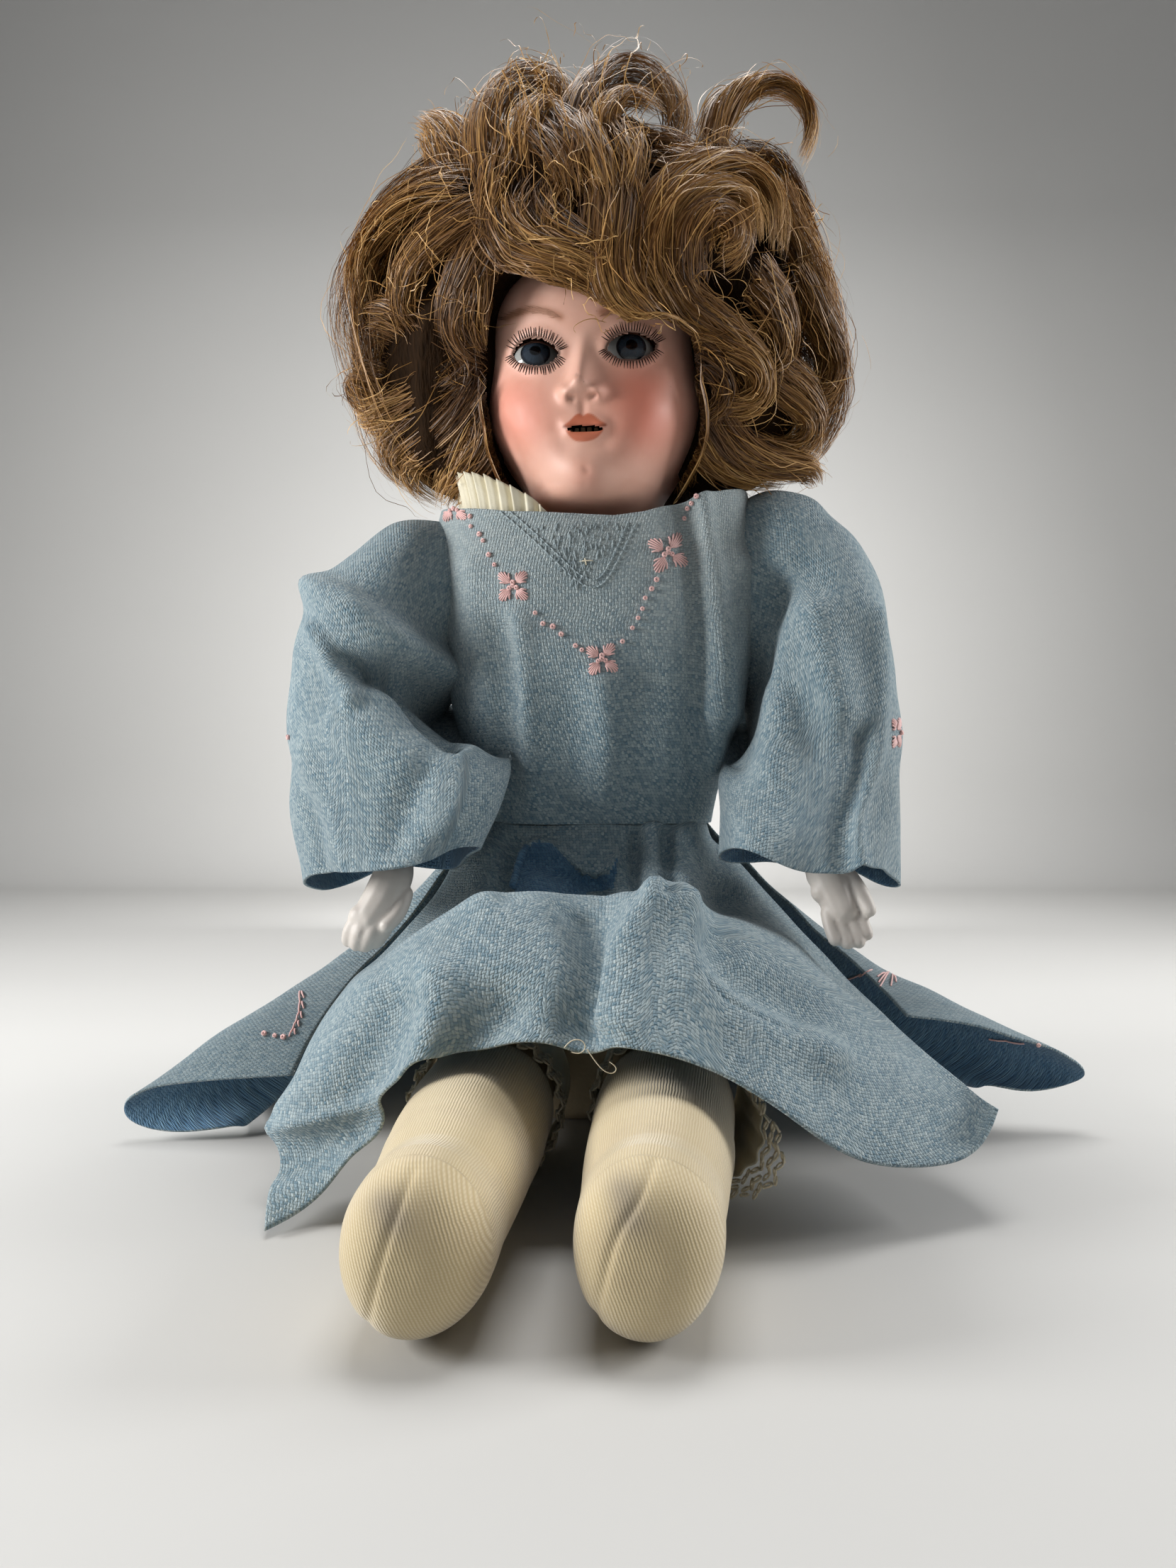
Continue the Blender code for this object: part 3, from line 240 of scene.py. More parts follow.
def grid_normals(points, wrap):
    """Unit normals of a grid of points, rows by columns; wrap joins its last column to its first."""
    closed = np.concatenate([points[:, -1:], points, points[:, :1]], axis=1) if wrap else points
    along = np.gradient(points, axis=0)
    across = np.gradient(closed, axis=1)
    across = across[:, 1:-1] if wrap else across
    normals = np.cross(across, along)
    return normals / np.maximum(np.linalg.norm(normals, axis=2, keepdims=True), 1e-12)


def skin(name, points, finish, wrap=False, ends=False, cloth=None):
    """A mesh over a grid of points, with a UV map in metres of cloth: across the rows, and down the columns.

    wrap joins the last column to the first, and ends closes a wrapped grid with a point at each end.
    """
    rows, columns = points.shape[:2]
    if cloth is None:
        ring = np.concatenate([points, points[:, :1]], axis=1) if wrap else points
        across = np.linalg.norm(np.diff(ring, axis=1), axis=2)
        across = np.concatenate([np.zeros((rows, 1)), np.cumsum(across, axis=1)], axis=1)
        across = across - across[:, columns // 2 : columns // 2 + 1]
        down = np.linalg.norm(np.diff(ring, axis=0), axis=2)
        down = np.concatenate([np.zeros((1, ring.shape[1])), np.cumsum(down, axis=0)], axis=0)
        cloth = np.stack([across, down], axis=2)
    verts = list(points.reshape(-1, 3))
    faces = []
    corners = []
    for i in range(rows - 1):
        for j in range(columns if wrap else columns - 1):
            k = (j + 1) % columns
            faces.append((i * columns + j, i * columns + k, (i + 1) * columns + k, (i + 1) * columns + j))
            corners += [cloth[i, j], cloth[i, j + 1], cloth[i + 1, j + 1], cloth[i + 1, j]]
    for row in (0, rows - 1) if ends else ():
        verts.append(points[row].mean(axis=0))
        for j in range(columns):
            pair = (row * columns + j, row * columns + (j + 1) % columns)
            faces.append((*(pair if row else pair[::-1]), len(verts) - 1))
            corners += [cloth[row, j], cloth[row, j + 1], cloth[row].mean(axis=0)]
    obj = plain_mesh(name, verts, faces, finish)
    layer = obj.data.uv_layers.new(name="cloth")
    layer.data.foreach_set("uv", np.array(corners, dtype=np.float32).ravel())
    return obj


def dented(points, wrap, size, depth, seed):
    """Moves a grid's points along their normals by smooth noise of that size and depth."""
    normals = grid_normals(points, wrap)
    shift = Vector((seed * 7.3, seed * 3.1, seed * 5.7))
    flat = [wander.noise(Vector(p) / size + shift) for p in points.reshape(-1, 3)]
    return points + normals * (np.array(flat).reshape(points.shape[:2])[..., None] * depth)


def made(piece, body, node):
    """Says which body a piece rides on and which solid it replaces."""
    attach(piece, body)
    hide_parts(node)


# Height, half width, and reach to the front and to the back, in mm.
TORSO_SECTIONS = [
    (0.4, 40, 26, 28),
    (4, 46, 33, 33),
    (30, 50, 38, 37),
    (65, 42, 33, 31),
    (105, 36, 27, 25),
    (150, 40, 32, 29),
    (185, 44.2, 29.5, 27.5),
    (196.6, 44.2, 27.5, 25.5),
]
rings = []
for height, half_width, front, back in TORSO_SECTIONS:
    middle = (0, (back - front) / 2, height)
    rings.append(oval(middle, (half_width, 0, 0), (0, (front + back) / 2, 0), 72, 2.4))
tube = dented(eased(rings, 60) * MM, True, 0.02, 0.0012, 1)
torso = skin("muslin_torso", tube, muslin, wrap=True, ends=True)
made(torso, "trunk", "torso")

SHOULDER_HEIGHT = 200
ELBOW_HEIGHT = 155
# Out from the doll's middle, forward and up, then the radius, in mm.
UPPER_ARM = [
    (45.5, -7, SHOULDER_HEIGHT, 9),
    (54, -7, SHOULDER_HEIGHT, 11.6),
    (66, -11, 190, 11.6),
    (75, -18, 172, 11.1),
    (79, -25, ELBOW_HEIGHT, 10.2),
]
for side, sign, hand_out in (("left", 1, 6), ("right", -1, 0)):
    path = []
    for x, y, z, radius in UPPER_ARM:
        lowered = (SHOULDER_HEIGHT - z) / (SHOULDER_HEIGHT - ELBOW_HEIGHT)
        path.append((sign * (x + hand_out * lowered), y, z, radius))
    path = eased(path, 30)
    heading = np.gradient(path[:, :3], axis=0)
    rings = []
    for (x, y, z, radius), step in zip(path, heading):
        ahead = Vector(step).normalized()
        across = ahead.cross(Vector((0, 1, 0))).normalized()
        rings.append(oval((x, y, z), across * radius, across.cross(ahead) * radius, 40))
    tube = dented(np.array(rings) * MM, True, 0.012, 0.0008, 2)
    upper_arm = skin(side + "_muslin_arm", tube, muslin, wrap=True, ends=True)
    made(upper_arm, side + "_arm", side + "_upper_arm")

# Stuffed legs and stockings
# Straight muslin legs end in blunt feet. Machine-knit cotton stockings are drawn over them and closed by a
# slanting toe seam.
HIP_Y = -33.0
HIP_HEIGHT = 24.5
LEG_LENGTH = 174.0
# Distance from the hip towards the toe, half width and half height, in mm.
LEG_SECTIONS = [
    (-20.2, 6, 6),
    (-18, 11, 11),
    (-10, 18, 18),
    (0, 20.6, 20.6),
    (40, 20.2, 20.2),
    (64, 19.8, 19.8),
    (86, 19.6, 19.6),
    (110, 18.6, 19.0),
    (122, 18.0, 18.6),
    (140, 16.4, 18.2),
    (154, 15.9, 19.3),
    (175, 15.9, 19.3),
]
FOOT_RISE_START = 122.0
FOOT_RISE_END = 145.0
TOE_START = 152.0
TOE_END = 175.0
TOE_SQUARENESS = 2.7
UNDERSIDE = 3.5
FOOT_UNDERSIDE = 1.5
STOCKING_GAP = 0.6
THIGH_END = 40
# How far out each leg's hip and toe are, in mm.
LEG_LINES = {"left": (30.0, 11.0), "right": (-28.0, -40.0)}


def leg_tube(hip_x, toe_x, grow, start, end, rows, columns):
    """Rings of points round one leg, between two distances from the hip, that far outside the leg itself."""
    distance, half_width, half_height = np.array(LEG_SECTIONS).T
    share = np.linspace(0, 1, rows)
    reach = start + (end - start) * share
    if end > TOE_START:
        reach = start + (end - start) * np.sin(share * np.pi / 2)
    rings = []
    for d in reach:
        toe = np.clip((d - TOE_START) / (TOE_END - TOE_START), 0, 0.9995)
        full = (1 - toe**TOE_SQUARENESS) ** (1 / TOE_SQUARENESS)
        wide = (np.interp(d, distance, half_width) + grow) * full
        tall = (np.interp(d, distance, half_height) + grow) * full
        low = np.interp(d, [FOOT_RISE_START, FOOT_RISE_END], [UNDERSIDE, FOOT_UNDERSIDE])
        lying = low + np.interp(d, distance, half_height) + STOCKING_GAP
        middle_height = HIP_HEIGHT if d < THIGH_END else lying
        x = hip_x + (toe_x - hip_x) * d / LEG_LENGTH
        rings.append(oval((x, HIP_Y - d, middle_height), (wide, 0, 0), (0, 0, tall), columns))
    return np.array(rings) * MM


# Cotton stocking yarn, knitted fine: ribs along the leg that turn to wavy rows over the toe, softly fuzzy.
# The real ribs are 0.6 mm apart; here they are 0.8 mm, so that they still show.
RIB_PITCH = 0.0008
ROW_PITCH = RIB_PITCH * 0.8
BAND_SCALE = 2 * math.pi / 20
knit = Finish("cream_cotton_knit", "E0CDA6", 0.92, Sheen_Weight=0.5, Sheen_Roughness=0.5)
cloth = knit.cloth()
stray = knit.noise(cloth, 260.0, output="Color")
wavy = knit.count("MULTIPLY", stray, (0.0006, 0.0006, 0.0), kind="VectorMath")
drawn = knit.count("ADD", cloth, wavy, kind="VectorMath")
bands = []
for direction, pitch, distortion in (("X", RIB_PITCH, 0.0), ("Y", ROW_PITCH, 1.0)):
    inputs = {"Vector": drawn, "Scale": BAND_SCALE / pitch, "Distortion": distortion}
    bands.append(knit.node("TexWave", inputs, "Fac", wave_type="BANDS", bands_direction=direction))
stitch = knit.count("MULTIPLY", knit.count("MULTIPLY_ADD", bands[1], 0.35, 0.65), bands[0])
handled = knit.span(knit.noise(knit.place(), 55.0, 5.0, 0.6), 0.5, 0.75, 0.0, 0.35)
worn = knit.mix(handled, knit.mix(stitch, "C4AF84", "DDCDA8"), "B9A587")
knit.show("Base Color", knit.mix(knit.mask("smudge"), worn, "8D8273"))
knit.bump(stitch, 0.4, 0.0004)


def seen(points):
    """Where points stand in the photograph, in its pixels, and the size of a pixel there, in metres."""
    depth = points[..., 1] - CAMERA_PLACE.y
    across = IMAGE_WIDTH / 2 + (points[..., 0] - CAMERA_PLACE.x) * FOCAL_PIXELS / depth
    down = IMAGE_HEIGHT / 2 - (points[..., 2] - CAMERA_PLACE.z) * FOCAL_PIXELS / depth
    return np.stack([across, down], axis=-1), depth / FOCAL_PIXELS


def beside(points, line):
    """How far points lie, in the camera's view, from a line through pixels of the photograph, in metres."""
    place, pixel = seen(points)
    nearest = np.full(place.shape[:-1], 1e9)
    for start, end in zip(np.array(line[:-1], float), np.array(line[1:], float)):
        step = end - start
        share = np.clip(((place - start) @ step) / (step @ step), 0, 1)
        nearest = np.minimum(nearest, np.linalg.norm(place - start - share[..., None] * step, axis=-1))
    return nearest * pixel


def toward_camera(normals):
    """How far directions face the front, from 0 to 1."""
    return np.clip(0.5 - normals[..., 1] * 1.5, 0, 1)


def folded(points, wrap, folds):
    """Raises folds on the side of a grid that faces the camera.

    Each fold is its height and its half width, in mm, and the line of its crest, in pixels of the photograph.
    """
    for height, half_width, line in folds:
        normals = grid_normals(points, wrap)
        away = beside(points, eased(line, 24)) / (half_width * MM)
        rise = height * MM * np.exp(-(away**2)) * toward_camera(normals)
        points = points + normals * rise[..., None]
    return points


def marked(mesh, name, values):
    """Keeps a value at each point of a mesh, for its finish to read."""
    layer = mesh.attributes.new(name, "FLOAT", "POINT")
    layer.data.foreach_set("value", np.asarray(values, dtype=np.float32))


# Slanting toe seams and the soft dents beside them, in pixels of the photograph.
LEFT_TOE_SEAM = [(925, 1640), (917, 1665), (900, 1705), (882, 1727), (865, 1761), (853, 1817), (839, 1873)]
TOE_FOLDS = {
    "left": [
        (-0.7, 1.6, LEFT_TOE_SEAM),
        (0.35, 1.0, [(x + 5, y + 3) for x, y in LEFT_TOE_SEAM]),
        (0.5, 5.5, [(800, 1700), (850, 1664), (930, 1655), (985, 1690)]),
        (-0.5, 5.0, [(792, 1660), (850, 1630), (930, 1622), (1000, 1655)]),
    ],
    "right": [
        (-0.7, 1.6, [(585, 1655), (564, 1709), (545, 1760), (530, 1820), (520, 1880)]),
        (0.35, 1.0, [(590, 1657), (569, 1711), (550, 1762), (535, 1822), (525, 1882)]),
        (0.5, 5.5, [(490, 1690), (530, 1662), (590, 1655), (640, 1690)]),
        (-0.5, 5.0, [(480, 1668), (530, 1630), (600, 1622), (655, 1660)]),
    ],
}
SMUDGES = {"left": [(880, 1680), (890, 1720)], "right": [(545, 1700), (556, 1720)]}
SMUDGE_REACH = 0.0045
TOE_CAP = 160.0
STOCKING_TOP = 64.0
for side, (hip_x, toe_x) in LEG_LINES.items():
    body = side + "_leg"
    tube = leg_tube(hip_x, toe_x, -2, LEG_SECTIONS[0][0], LEG_LENGTH - 5, 60, 48)
    leg = skin(side + "_muslin_leg", dented(tube, True, 0.015, 0.0005, 3), muslin, wrap=True, ends=True)
    made(leg, body, side + "_stuffed_leg")

    tube = leg_tube(hip_x, toe_x, 1.3, STOCKING_TOP, LEG_LENGTH + 0.9, 170, 144)
    tube = folded(dented(tube, True, 0.02, 0.0006, 4), True, TOE_FOLDS[side])
    around = np.linspace(0, 2 * np.pi * 0.02, 145)
    along = (STOCKING_TOP - (tube[:, :1, 1] / MM - HIP_Y) * -1) * MM
    side_cloth = np.stack(np.broadcast_arrays(around[None, :], along), axis=2)
    ring = np.concatenate([tube, tube[:, :1]], axis=1)
    cap_cloth = np.stack([ring[..., 0] + 0.35 * ring[..., 2], ring[..., 2]], axis=2)
    on_cap = (HIP_Y - ring[:, :, 1:2] / MM) > TOE_CAP
    cloth = np.where(on_cap, cap_cloth, side_cloth)
    stocking = skin(side + "_knit_stocking", tube, knit, wrap=True, ends=True, cloth=cloth)
    places = np.array([v.co for v in stocking.data.vertices])
    soil = 0.7 * np.exp(-((beside(places, SMUDGES[side]) / SMUDGE_REACH) ** 2)) * (places[:, 1] < -0.15)
    marked(stocking.data, "smudge", soil)
    made(stocking, body, side + "_stocking")

# Dress: skirt
# Wool crepe of faded blue, cut in a full circle and seamed to the bodice at the waist. It falls behind the
# lap, rises over both legs, and spreads to the sides in flaps whose hems roll open and show the less faded
# inner side.
THREAD_PITCH = 0.00115
# Plain crepe weave with uneven, fuzzy threads; each float of yarn catches the light by itself, so the blue
# looks flecked. The real threads are 0.95 mm apart; here they are a little coarser, so that they still show.
CREPE_SIDES = {
    "faded_blue_crepe": ("ACBABC", "62808F", "3D5766"),
    "inner_blue_crepe": ("6F95B0", "436E90", "2A4A64"),
}
crepes = []
for crepe_name, (light_thread, dark_thread, between_threads) in CREPE_SIDES.items():
    crepe = Finish(crepe_name, dark_thread, 0.93, Sheen_Weight=0.22, Sheen_Roughness=0.6)
    cloth = crepe.cloth()
    uneven = crepe.noise(cloth, 420.0, output="Color")
    pull = (THREAD_PITCH * 0.9, THREAD_PITCH * 0.9, 0)
    pulled = crepe.count("MULTIPLY_ADD", uneven, pull, cloth, kind="VectorMath")
    counted = crepe.count("MULTIPLY", pulled, (1 / THREAD_PITCH, 1 / THREAD_PITCH, 0), kind="VectorMath")
    thread_number = crepe.count("FLOOR", counted, kind="VectorMath")
    fleck = crepe.node("TexWhiteNoise", {"Vector": thread_number}, "Value", noise_dimensions="2D")
    split = add(crepe.tree, "ShaderNodeSeparateXYZ", {0: counted})
    warp, weft = (crepe.count("SINE", crepe.count("MULTIPLY", split.outputs[k], math.pi)) for k in (0, 1))
    over = crepe.span(crepe.count("MULTIPLY", warp, weft), -0.35, 0.35)
    warp_rise, weft_rise = (crepe.count("ABSOLUTE", thread) for thread in (warp, weft))
    rise = crepe.node("Mix", {0: over, 2: weft_rise, 3: warp_rise}, data_type="FLOAT")
    shine = crepe.count("MULTIPLY_ADD", over, 0.22, crepe.count("MULTIPLY", fleck, 0.75))
    thread_tint = crepe.mix(shine, dark_thread, light_thread)
    woven = crepe.mix(crepe.span(rise, 0.05, 0.5, 0.75, 0.0), thread_tint, between_threads)
    faded = crepe.span(crepe.noise(cloth, 28.0, 4.0), 0.3, 0.7, 0.94, 1.08)
    washed = crepe.node("HueSaturation", {"Value": faded, "Color": woven})
    crepe.show("Base Color", crepe.mix(crepe.mask("bleach"), washed, "B3B8B4"))
    fibre = crepe.noise(cloth, 2600.0, 3.0)
    crepe.bump(crepe.count("MULTIPLY_ADD", fibre, 0.35, rise), 0.75, 0.0006)
    crepes.append(crepe)
CREPE_THICKNESS = 0.0009


def rounded(outline, count):
    """A smooth closed curve through the neighbourhood of an outline's corners."""
    corners = np.array(outline, float)
    share = np.linspace(0, len(corners), count, endpoint=False)
    i = share.astype(int)
    t = (share - i)[:, None]
    a, b, c, d = (corners[(i + k) % len(corners)] for k in (-1, 0, 1, 2))
    return b + 0.5 * t * (c - a + t * (2 * a - 5 * b + 4 * c - d + t * (3 * (b - c) + d - a)))


def within(points, outline):
    """Whether points lie inside a closed outline in the camera's view."""
    place, _ = seen(points)
    inside = np.zeros(place.shape[:-1], bool)
    for (x0, y0), (x1, y1) in zip(outline, np.roll(outline, -1, axis=0)):
        crosses = (y0 > place[..., 1]) != (y1 > place[..., 1])
        span = (x1 - x0) * (place[..., 1] - y0) / (y1 - y0 + 1e-12) + x0
        inside ^= crosses & (place[..., 0] < span)
    return inside


def settled(obj):
    """Turns what a piece's modifiers make into its own mesh."""
    graph = bpy.context.evaluated_depsgraph_get()
    evaluated = obj.evaluated_get(graph)
    mesh = bpy.data.meshes.new_from_object(evaluated, preserve_all_data_layers=True, depsgraph=graph)
    obj.modifiers.clear()
    obj.data = mesh


def made_thick(obj, thickness, lining):
    """Gives a sheet its thickness, inwards, with another finish on its inner side."""
    obj.data.materials.append(lining.material)
    wall = obj.modifiers.new("thickness", "SOLIDIFY")
    wall.thickness = thickness
    wall.offset = -1
    wall.material_offset = 1
    settled(obj)


# Each gore runs down from the waist: waist, under the waist, lap, slope and hem, in mm.
BACK_GORES = [
    ((44.6, -6, 110), (73, -22, 80), (96, -44, 58), (103, -56, 52), (107, -62, 46)),
    ((44.6, -5, 110), (74, -18, 78), (106, -38, 56), (126, -50, 48), (138, -56, 41)),
    ((44.6, -2, 110), (74, -11, 76), (120, -25, 50), (164, -34, 32), (188, -38, 22)),
    ((44.4, 0, 110), (72, -5, 74), (112, -16, 38), (146, -30, 18), (163, -40, 12)),
    ((44.2, 2, 110), (70, 0, 73), (100, -12, 34), (118, -28, 20), (130, -40, 18)),
    ((44, 4, 110), (70, 4, 74), (112, 6, 38), (138, 8, 14), (150, 10, 4)),
    ((40, 16, 110), (62, 26, 70), (98, 42, 34), (124, 54, 12), (134, 58, 4)),
    ((27, 27, 110), (42, 46, 68), (62, 72, 32), (76, 90, 11), (80, 96, 4)),
    ((0, 32, 110), (0, 58, 66), (0, 86, 30), (0, 102, 11), (0, 108, 4)),
    ((-27, 27, 110), (-42, 46, 68), (-62, 72, 32), (-76, 90, 11), (-80, 96, 4)),
    ((-40, 16, 110), (-62, 26, 70), (-98, 42, 34), (-124, 54, 12), (-134, 58, 4)),
    ((-44, 3, 110), (-68, 0, 74), (-108, -2, 40), (-136, 0, 14), (-146, 2, 4)),
    ((-44.4, 0, 110), (-66, -8, 72), (-92, -22, 34), (-104, -36, 12), (-112, -48, 5)),
    ((-44.6, -2, 110), (-68, -12, 72), (-101, -28, 33), (-126, -42, 8), (-140, -53, 2.5)),
    ((-44.6, -3, 110), (-69.5, -14.5, 75), (-107, -32, 39), (-146, -43.5, 14), (-164, -51, 5)),
    ((-44.6, -5, 110), (-70, -17.5, 79), (-108, -34, 50), (-146, -44.5, 30), (-163, -51, 19)),
    ((-44.6, -7.5, 110), (-68, -21.5, 78), (-100, -38.5, 55), (-122, -47, 38), (-134, -55, 22)),
    ((-44.4, -10, 110), (-65, -25, 75), (-87, -43, 54), (-98, -50, 37), (-103, -53, 23)),
]
BACK_FOLD_DEPTH = 0.003
BACK_FOLDS = 10
SKIRT_ROWS = 90
SKIRT_COLUMNS = 300
FLOOR_GAP = 0.0012


def gored(gores, across, down):
    """A smooth grid over gores: rows from waist to hem, columns that make its outer side face out."""
    return eased(eased(gores, across).swapaxes(0, 1), down)[:, ::-1] * MM


back_grid = gored(BACK_GORES, SKIRT_COLUMNS, SKIRT_ROWS)
fall = np.linspace(0, 1, SKIRT_ROWS)[:, None] ** 1.2
ripple = np.sin(np.linspace(0, 2 * np.pi * BACK_FOLDS, SKIRT_COLUMNS))[None, :] * BACK_FOLD_DEPTH * fall
behind = np.clip((back_grid[..., 1] + 0.01) / 0.04, 0, 1)
back_grid = back_grid + grid_normals(back_grid, False) * (ripple * behind)[..., None]
back_grid = dented(back_grid, False, 0.022, 0.0016, 5)
back_grid[..., 2] = np.maximum(back_grid[..., 2], FLOOR_GAP)
skirt_back = skin("crepe_skirt_back", back_grid, crepes[0])
made_thick(skirt_back, CREPE_THICKNESS, crepes[1])
made(skirt_back, "trunk", "dress_skirt_back")

FRONT_GORES = [
    ((-43, -14, 110), (-61, -36, 74), (-85, -56, 57), (-98, -98, 22), (-89, -137, 3)),
    ((-40, -24, 110), (-57, -50, 70), (-80, -76, 63), (-87, -108, 35), (-76, -124, 6)),
    ((-32, -33, 110), (-45, -59, 72), (-64, -90, 77), (-69, -115, 56), (-64, -126, 28)),
    ((-20, -37, 110), (-28, -63, 74), (-44, -94, 95), (-49, -122, 74), (-48, -136, 52)),
    ((-8, -39.5, 110), (-10, -65, 72), (-18, -98, 100), (-20, -127, 79), (-22, -138, 55)),
    ((4, -40, 110), (8, -65, 72), (8, -99, 100), (6, -131, 79), (4, -146, 55)),
    ((17, -38, 110), (26, -63, 75), (34, -98, 95), (34, -131, 73), (34, -152, 53)),
    ((29, -34.5, 110), (42, -58, 77), (56, -93, 84), (58, -125, 56), (60, -146, 29)),
    ((37, -28, 110), (55, -49, 78), (74, -86, 69), (81, -115, 41), (78, -138, 19)),
    ((42, -18, 110), (66, -38, 76), (96, -72, 48), (108, -102, 27), (109, -126, 17)),
    ((44, -10, 110), (71, -29, 76), (105, -63, 39), (117, -94, 29), (116, -119, 31)),
]
# One pleat stands open below the waist seam and shows the unfaded inner side; its rim and its lower edge, in
# pixels of the photograph.
LOOP_RIM = [(722, 1250), (733, 1210), (745, 1193), (760, 1186), (780, 1192)]
LOOP_RIM += [(800, 1212), (818, 1230), (839, 1238), (862, 1230), (872, 1208)]
LOOP_EDGE = [(866, 1252), (820, 1264), (760, 1266), (730, 1263)]
LOOP_DEPTH = -0.085
FRONT_FOLDS = [
    (-9.0, 8.0, [(822, 1268), (852, 1308), (850, 1384), (828, 1440)]),
    (6.0, 6.0, [(938, 1252), (884, 1328), (868, 1390), (862, 1440)]),
    (5.0, 5.5, [(954, 1262), (979, 1328), (990, 1390), (1046, 1425), (1117, 1451), (1168, 1492)]),
    (-6.0, 7.0, [(1003, 1330), (1015, 1380), (1066, 1400), (1130, 1420)]),
    (-6.0, 8.0, [(708, 1425), (667, 1466), (634, 1502)]),
    (4.0, 7.0, [(520, 1400), (470, 1480), (420, 1570)]),
    (4.5, 7.0, [(620, 1380), (598, 1480), (575, 1550)]),
    (-4.0, 7.0, [(560, 1420), (535, 1500), (500, 1570)]),
    (2.4, 1.6, LOOP_RIM),
    (-4.0, 5.0, [(765, 1212), (800, 1232), (845, 1250)]),
    (-3.2, 2.4, [(897, 1175), (897, 1250)]),
    (3.2, 4.0, [(920, 1170), (922, 1250)]),
    (-3.2, 2.4, [(944, 1175), (946, 1250)]),
    (3.0, 6.0, [(975, 1175), (985, 1260)]),
    (-3.0, 5.0, [(1010, 1180), (1020, 1260)]),
    (3.0, 7.0, [(690, 1190), (680, 1260)]),
    (-3.0, 4.0, [(722, 1190), (715, 1250)]),
    (2.5, 3.0, [(358, 1600), (420, 1588), (476, 1577), (560, 1545)]),
    (-3.5, 5.0, [(372, 1640), (440, 1622), (500, 1602), (560, 1575)]),
]
front_grid = folded(gored(FRONT_GORES, 220, 130), False, FRONT_FOLDS)
front_grid = dented(front_grid, False, 0.025, 0.0016, 6)
front_grid[..., 2] = np.maximum(front_grid[..., 2], FLOOR_GAP)
skirt_front = skin("crepe_skirt_front", front_grid, crepes[0])
loop = np.array(LOOP_RIM + LOOP_EDGE, float)
middles = np.array([face.center for face in skirt_front.data.polygons])
unfaded = within(middles, loop) & (middles[:, 1] > LOOP_DEPTH)
skirt_front.data.polygons.foreach_set("material_index", unfaded.astype(np.int32))
made_thick(skirt_front, CREPE_THICKNESS, crepes[1])
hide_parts("dress_skirt_front")
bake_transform(skirt_front, "trunk", "left_leg", start=(0, -0.045, 0.08), end=(0, -0.105, 0.07))

# Dress: bodice
# A straight crepe bodice with a wide boat neck, gathered a little into the waist seam. A V yoke is marked by
# two drawn lines of stitching, and the slack cloth stands in soft upright folds beside the sleeves.
NECKLINE = 219.5
RISE_START = 165
LEFT_FULLNESS = 1.06
# Rise of the neckline from the doll's right to its left, in mm.
NECKLINE_RISE = [(-62, 10), (-50, 6), (-30, 2), (-10, 0.4), (8, 0), (19, 1.5), (28, 4.2), (41, 9), (58, 15)]
NECKLINE_RISE += [(62, 16)]
# Height, half width, and reach to the front and to the back, in mm.
BODICE_SECTIONS = [
    (109.5, 44.6, 40.6, 32.6),
    (113, 45.2, 42.0, 33),
    (124, 47, 45.5, 34),
    (142, 51, 48.5, 35.5),
    (165, 56, 50, 36),
    (190, 60, 49.5, 35),
    (208, 60.5, 47, 31),
    (NECKLINE, 58, 44, 26),
]
rings = []
for height, half_width, front, back in BODICE_SECTIONS:
    ring = oval((0, 0, 0), (half_width, 0, 0), (0, 1, 0), 260, 2.55)
    ring[:, 1] *= np.where(ring[:, 1] < 0, front, back)
    ring[:, 0] *= np.where(ring[:, 0] > 0, LEFT_FULLNESS, 1)
    rise = np.interp(ring[:, 0], *np.array(NECKLINE_RISE).T)
    ring[:, 2] = height + rise * np.clip((height - RISE_START) / (NECKLINE - RISE_START), 0, 1)
    rings.append(ring)
BODICE_FOLDS = [
    (3.0, 5.0, [(728, 880), (735, 960), (738, 1040), (742, 1120)]),
    (-3.0, 5.5, [(706, 890), (712, 960), (714, 1060), (722, 1130)]),
    (3.4, 3.8, [(988, 700), (995, 760), (1006, 860), (1008, 977), (1002, 1085)]),
    (-3.6, 4.4, [(966, 715), (975, 780), (985, 880), (986, 980), (978, 1085)]),
    (5.0, 7.0, [(1040, 800), (1035, 900), (1020, 1000)]),
    (2.4, 6.0, [(850, 960), (856, 1060), (850, 1130)]),
    (-1.4, 7.0, [(800, 980), (806, 1060), (800, 1130)]),
    (1.5, 6.0, [(660, 800), (668, 900), (690, 1000)]),
    (-1.2, 8.0, [(905, 960), (915, 1040), (910, 1120)]),
]
bodice_grid = folded(eased(rings, 190) * MM, True, BODICE_FOLDS)
bodice_grid = dented(bodice_grid, True, 0.024, 0.0013, 7)
bodice = skin("crepe_bodice", bodice_grid, crepes[0], wrap=True)
fade = np.clip((bodice_grid[..., 2].ravel() / MM - 150) / 60, 0, 1) * 0.42
marked(bodice.data, "bleach", fade)
made_thick(bodice, CREPE_THICKNESS, crepes[1])
made(bodice, "trunk", "dress_bodice")

# Dress: sleeves
# Full three-quarter sleeves set on dropped shoulders. The slack cloth doubles over itself at the bend of the
# elbow, and the open cuffs hang with their inner side showing.
SLEEVE_BASE = 48.0
SLEEVE_ROWS = 170
SLEEVE_COLUMNS = 200
CUFF_WAVE = 2.2
# Where the cloth doubles over at the armpit, both its sides have the outer finish.
ARMPIT_REACH = 0.078
ARMPIT_FOOT = 0.12
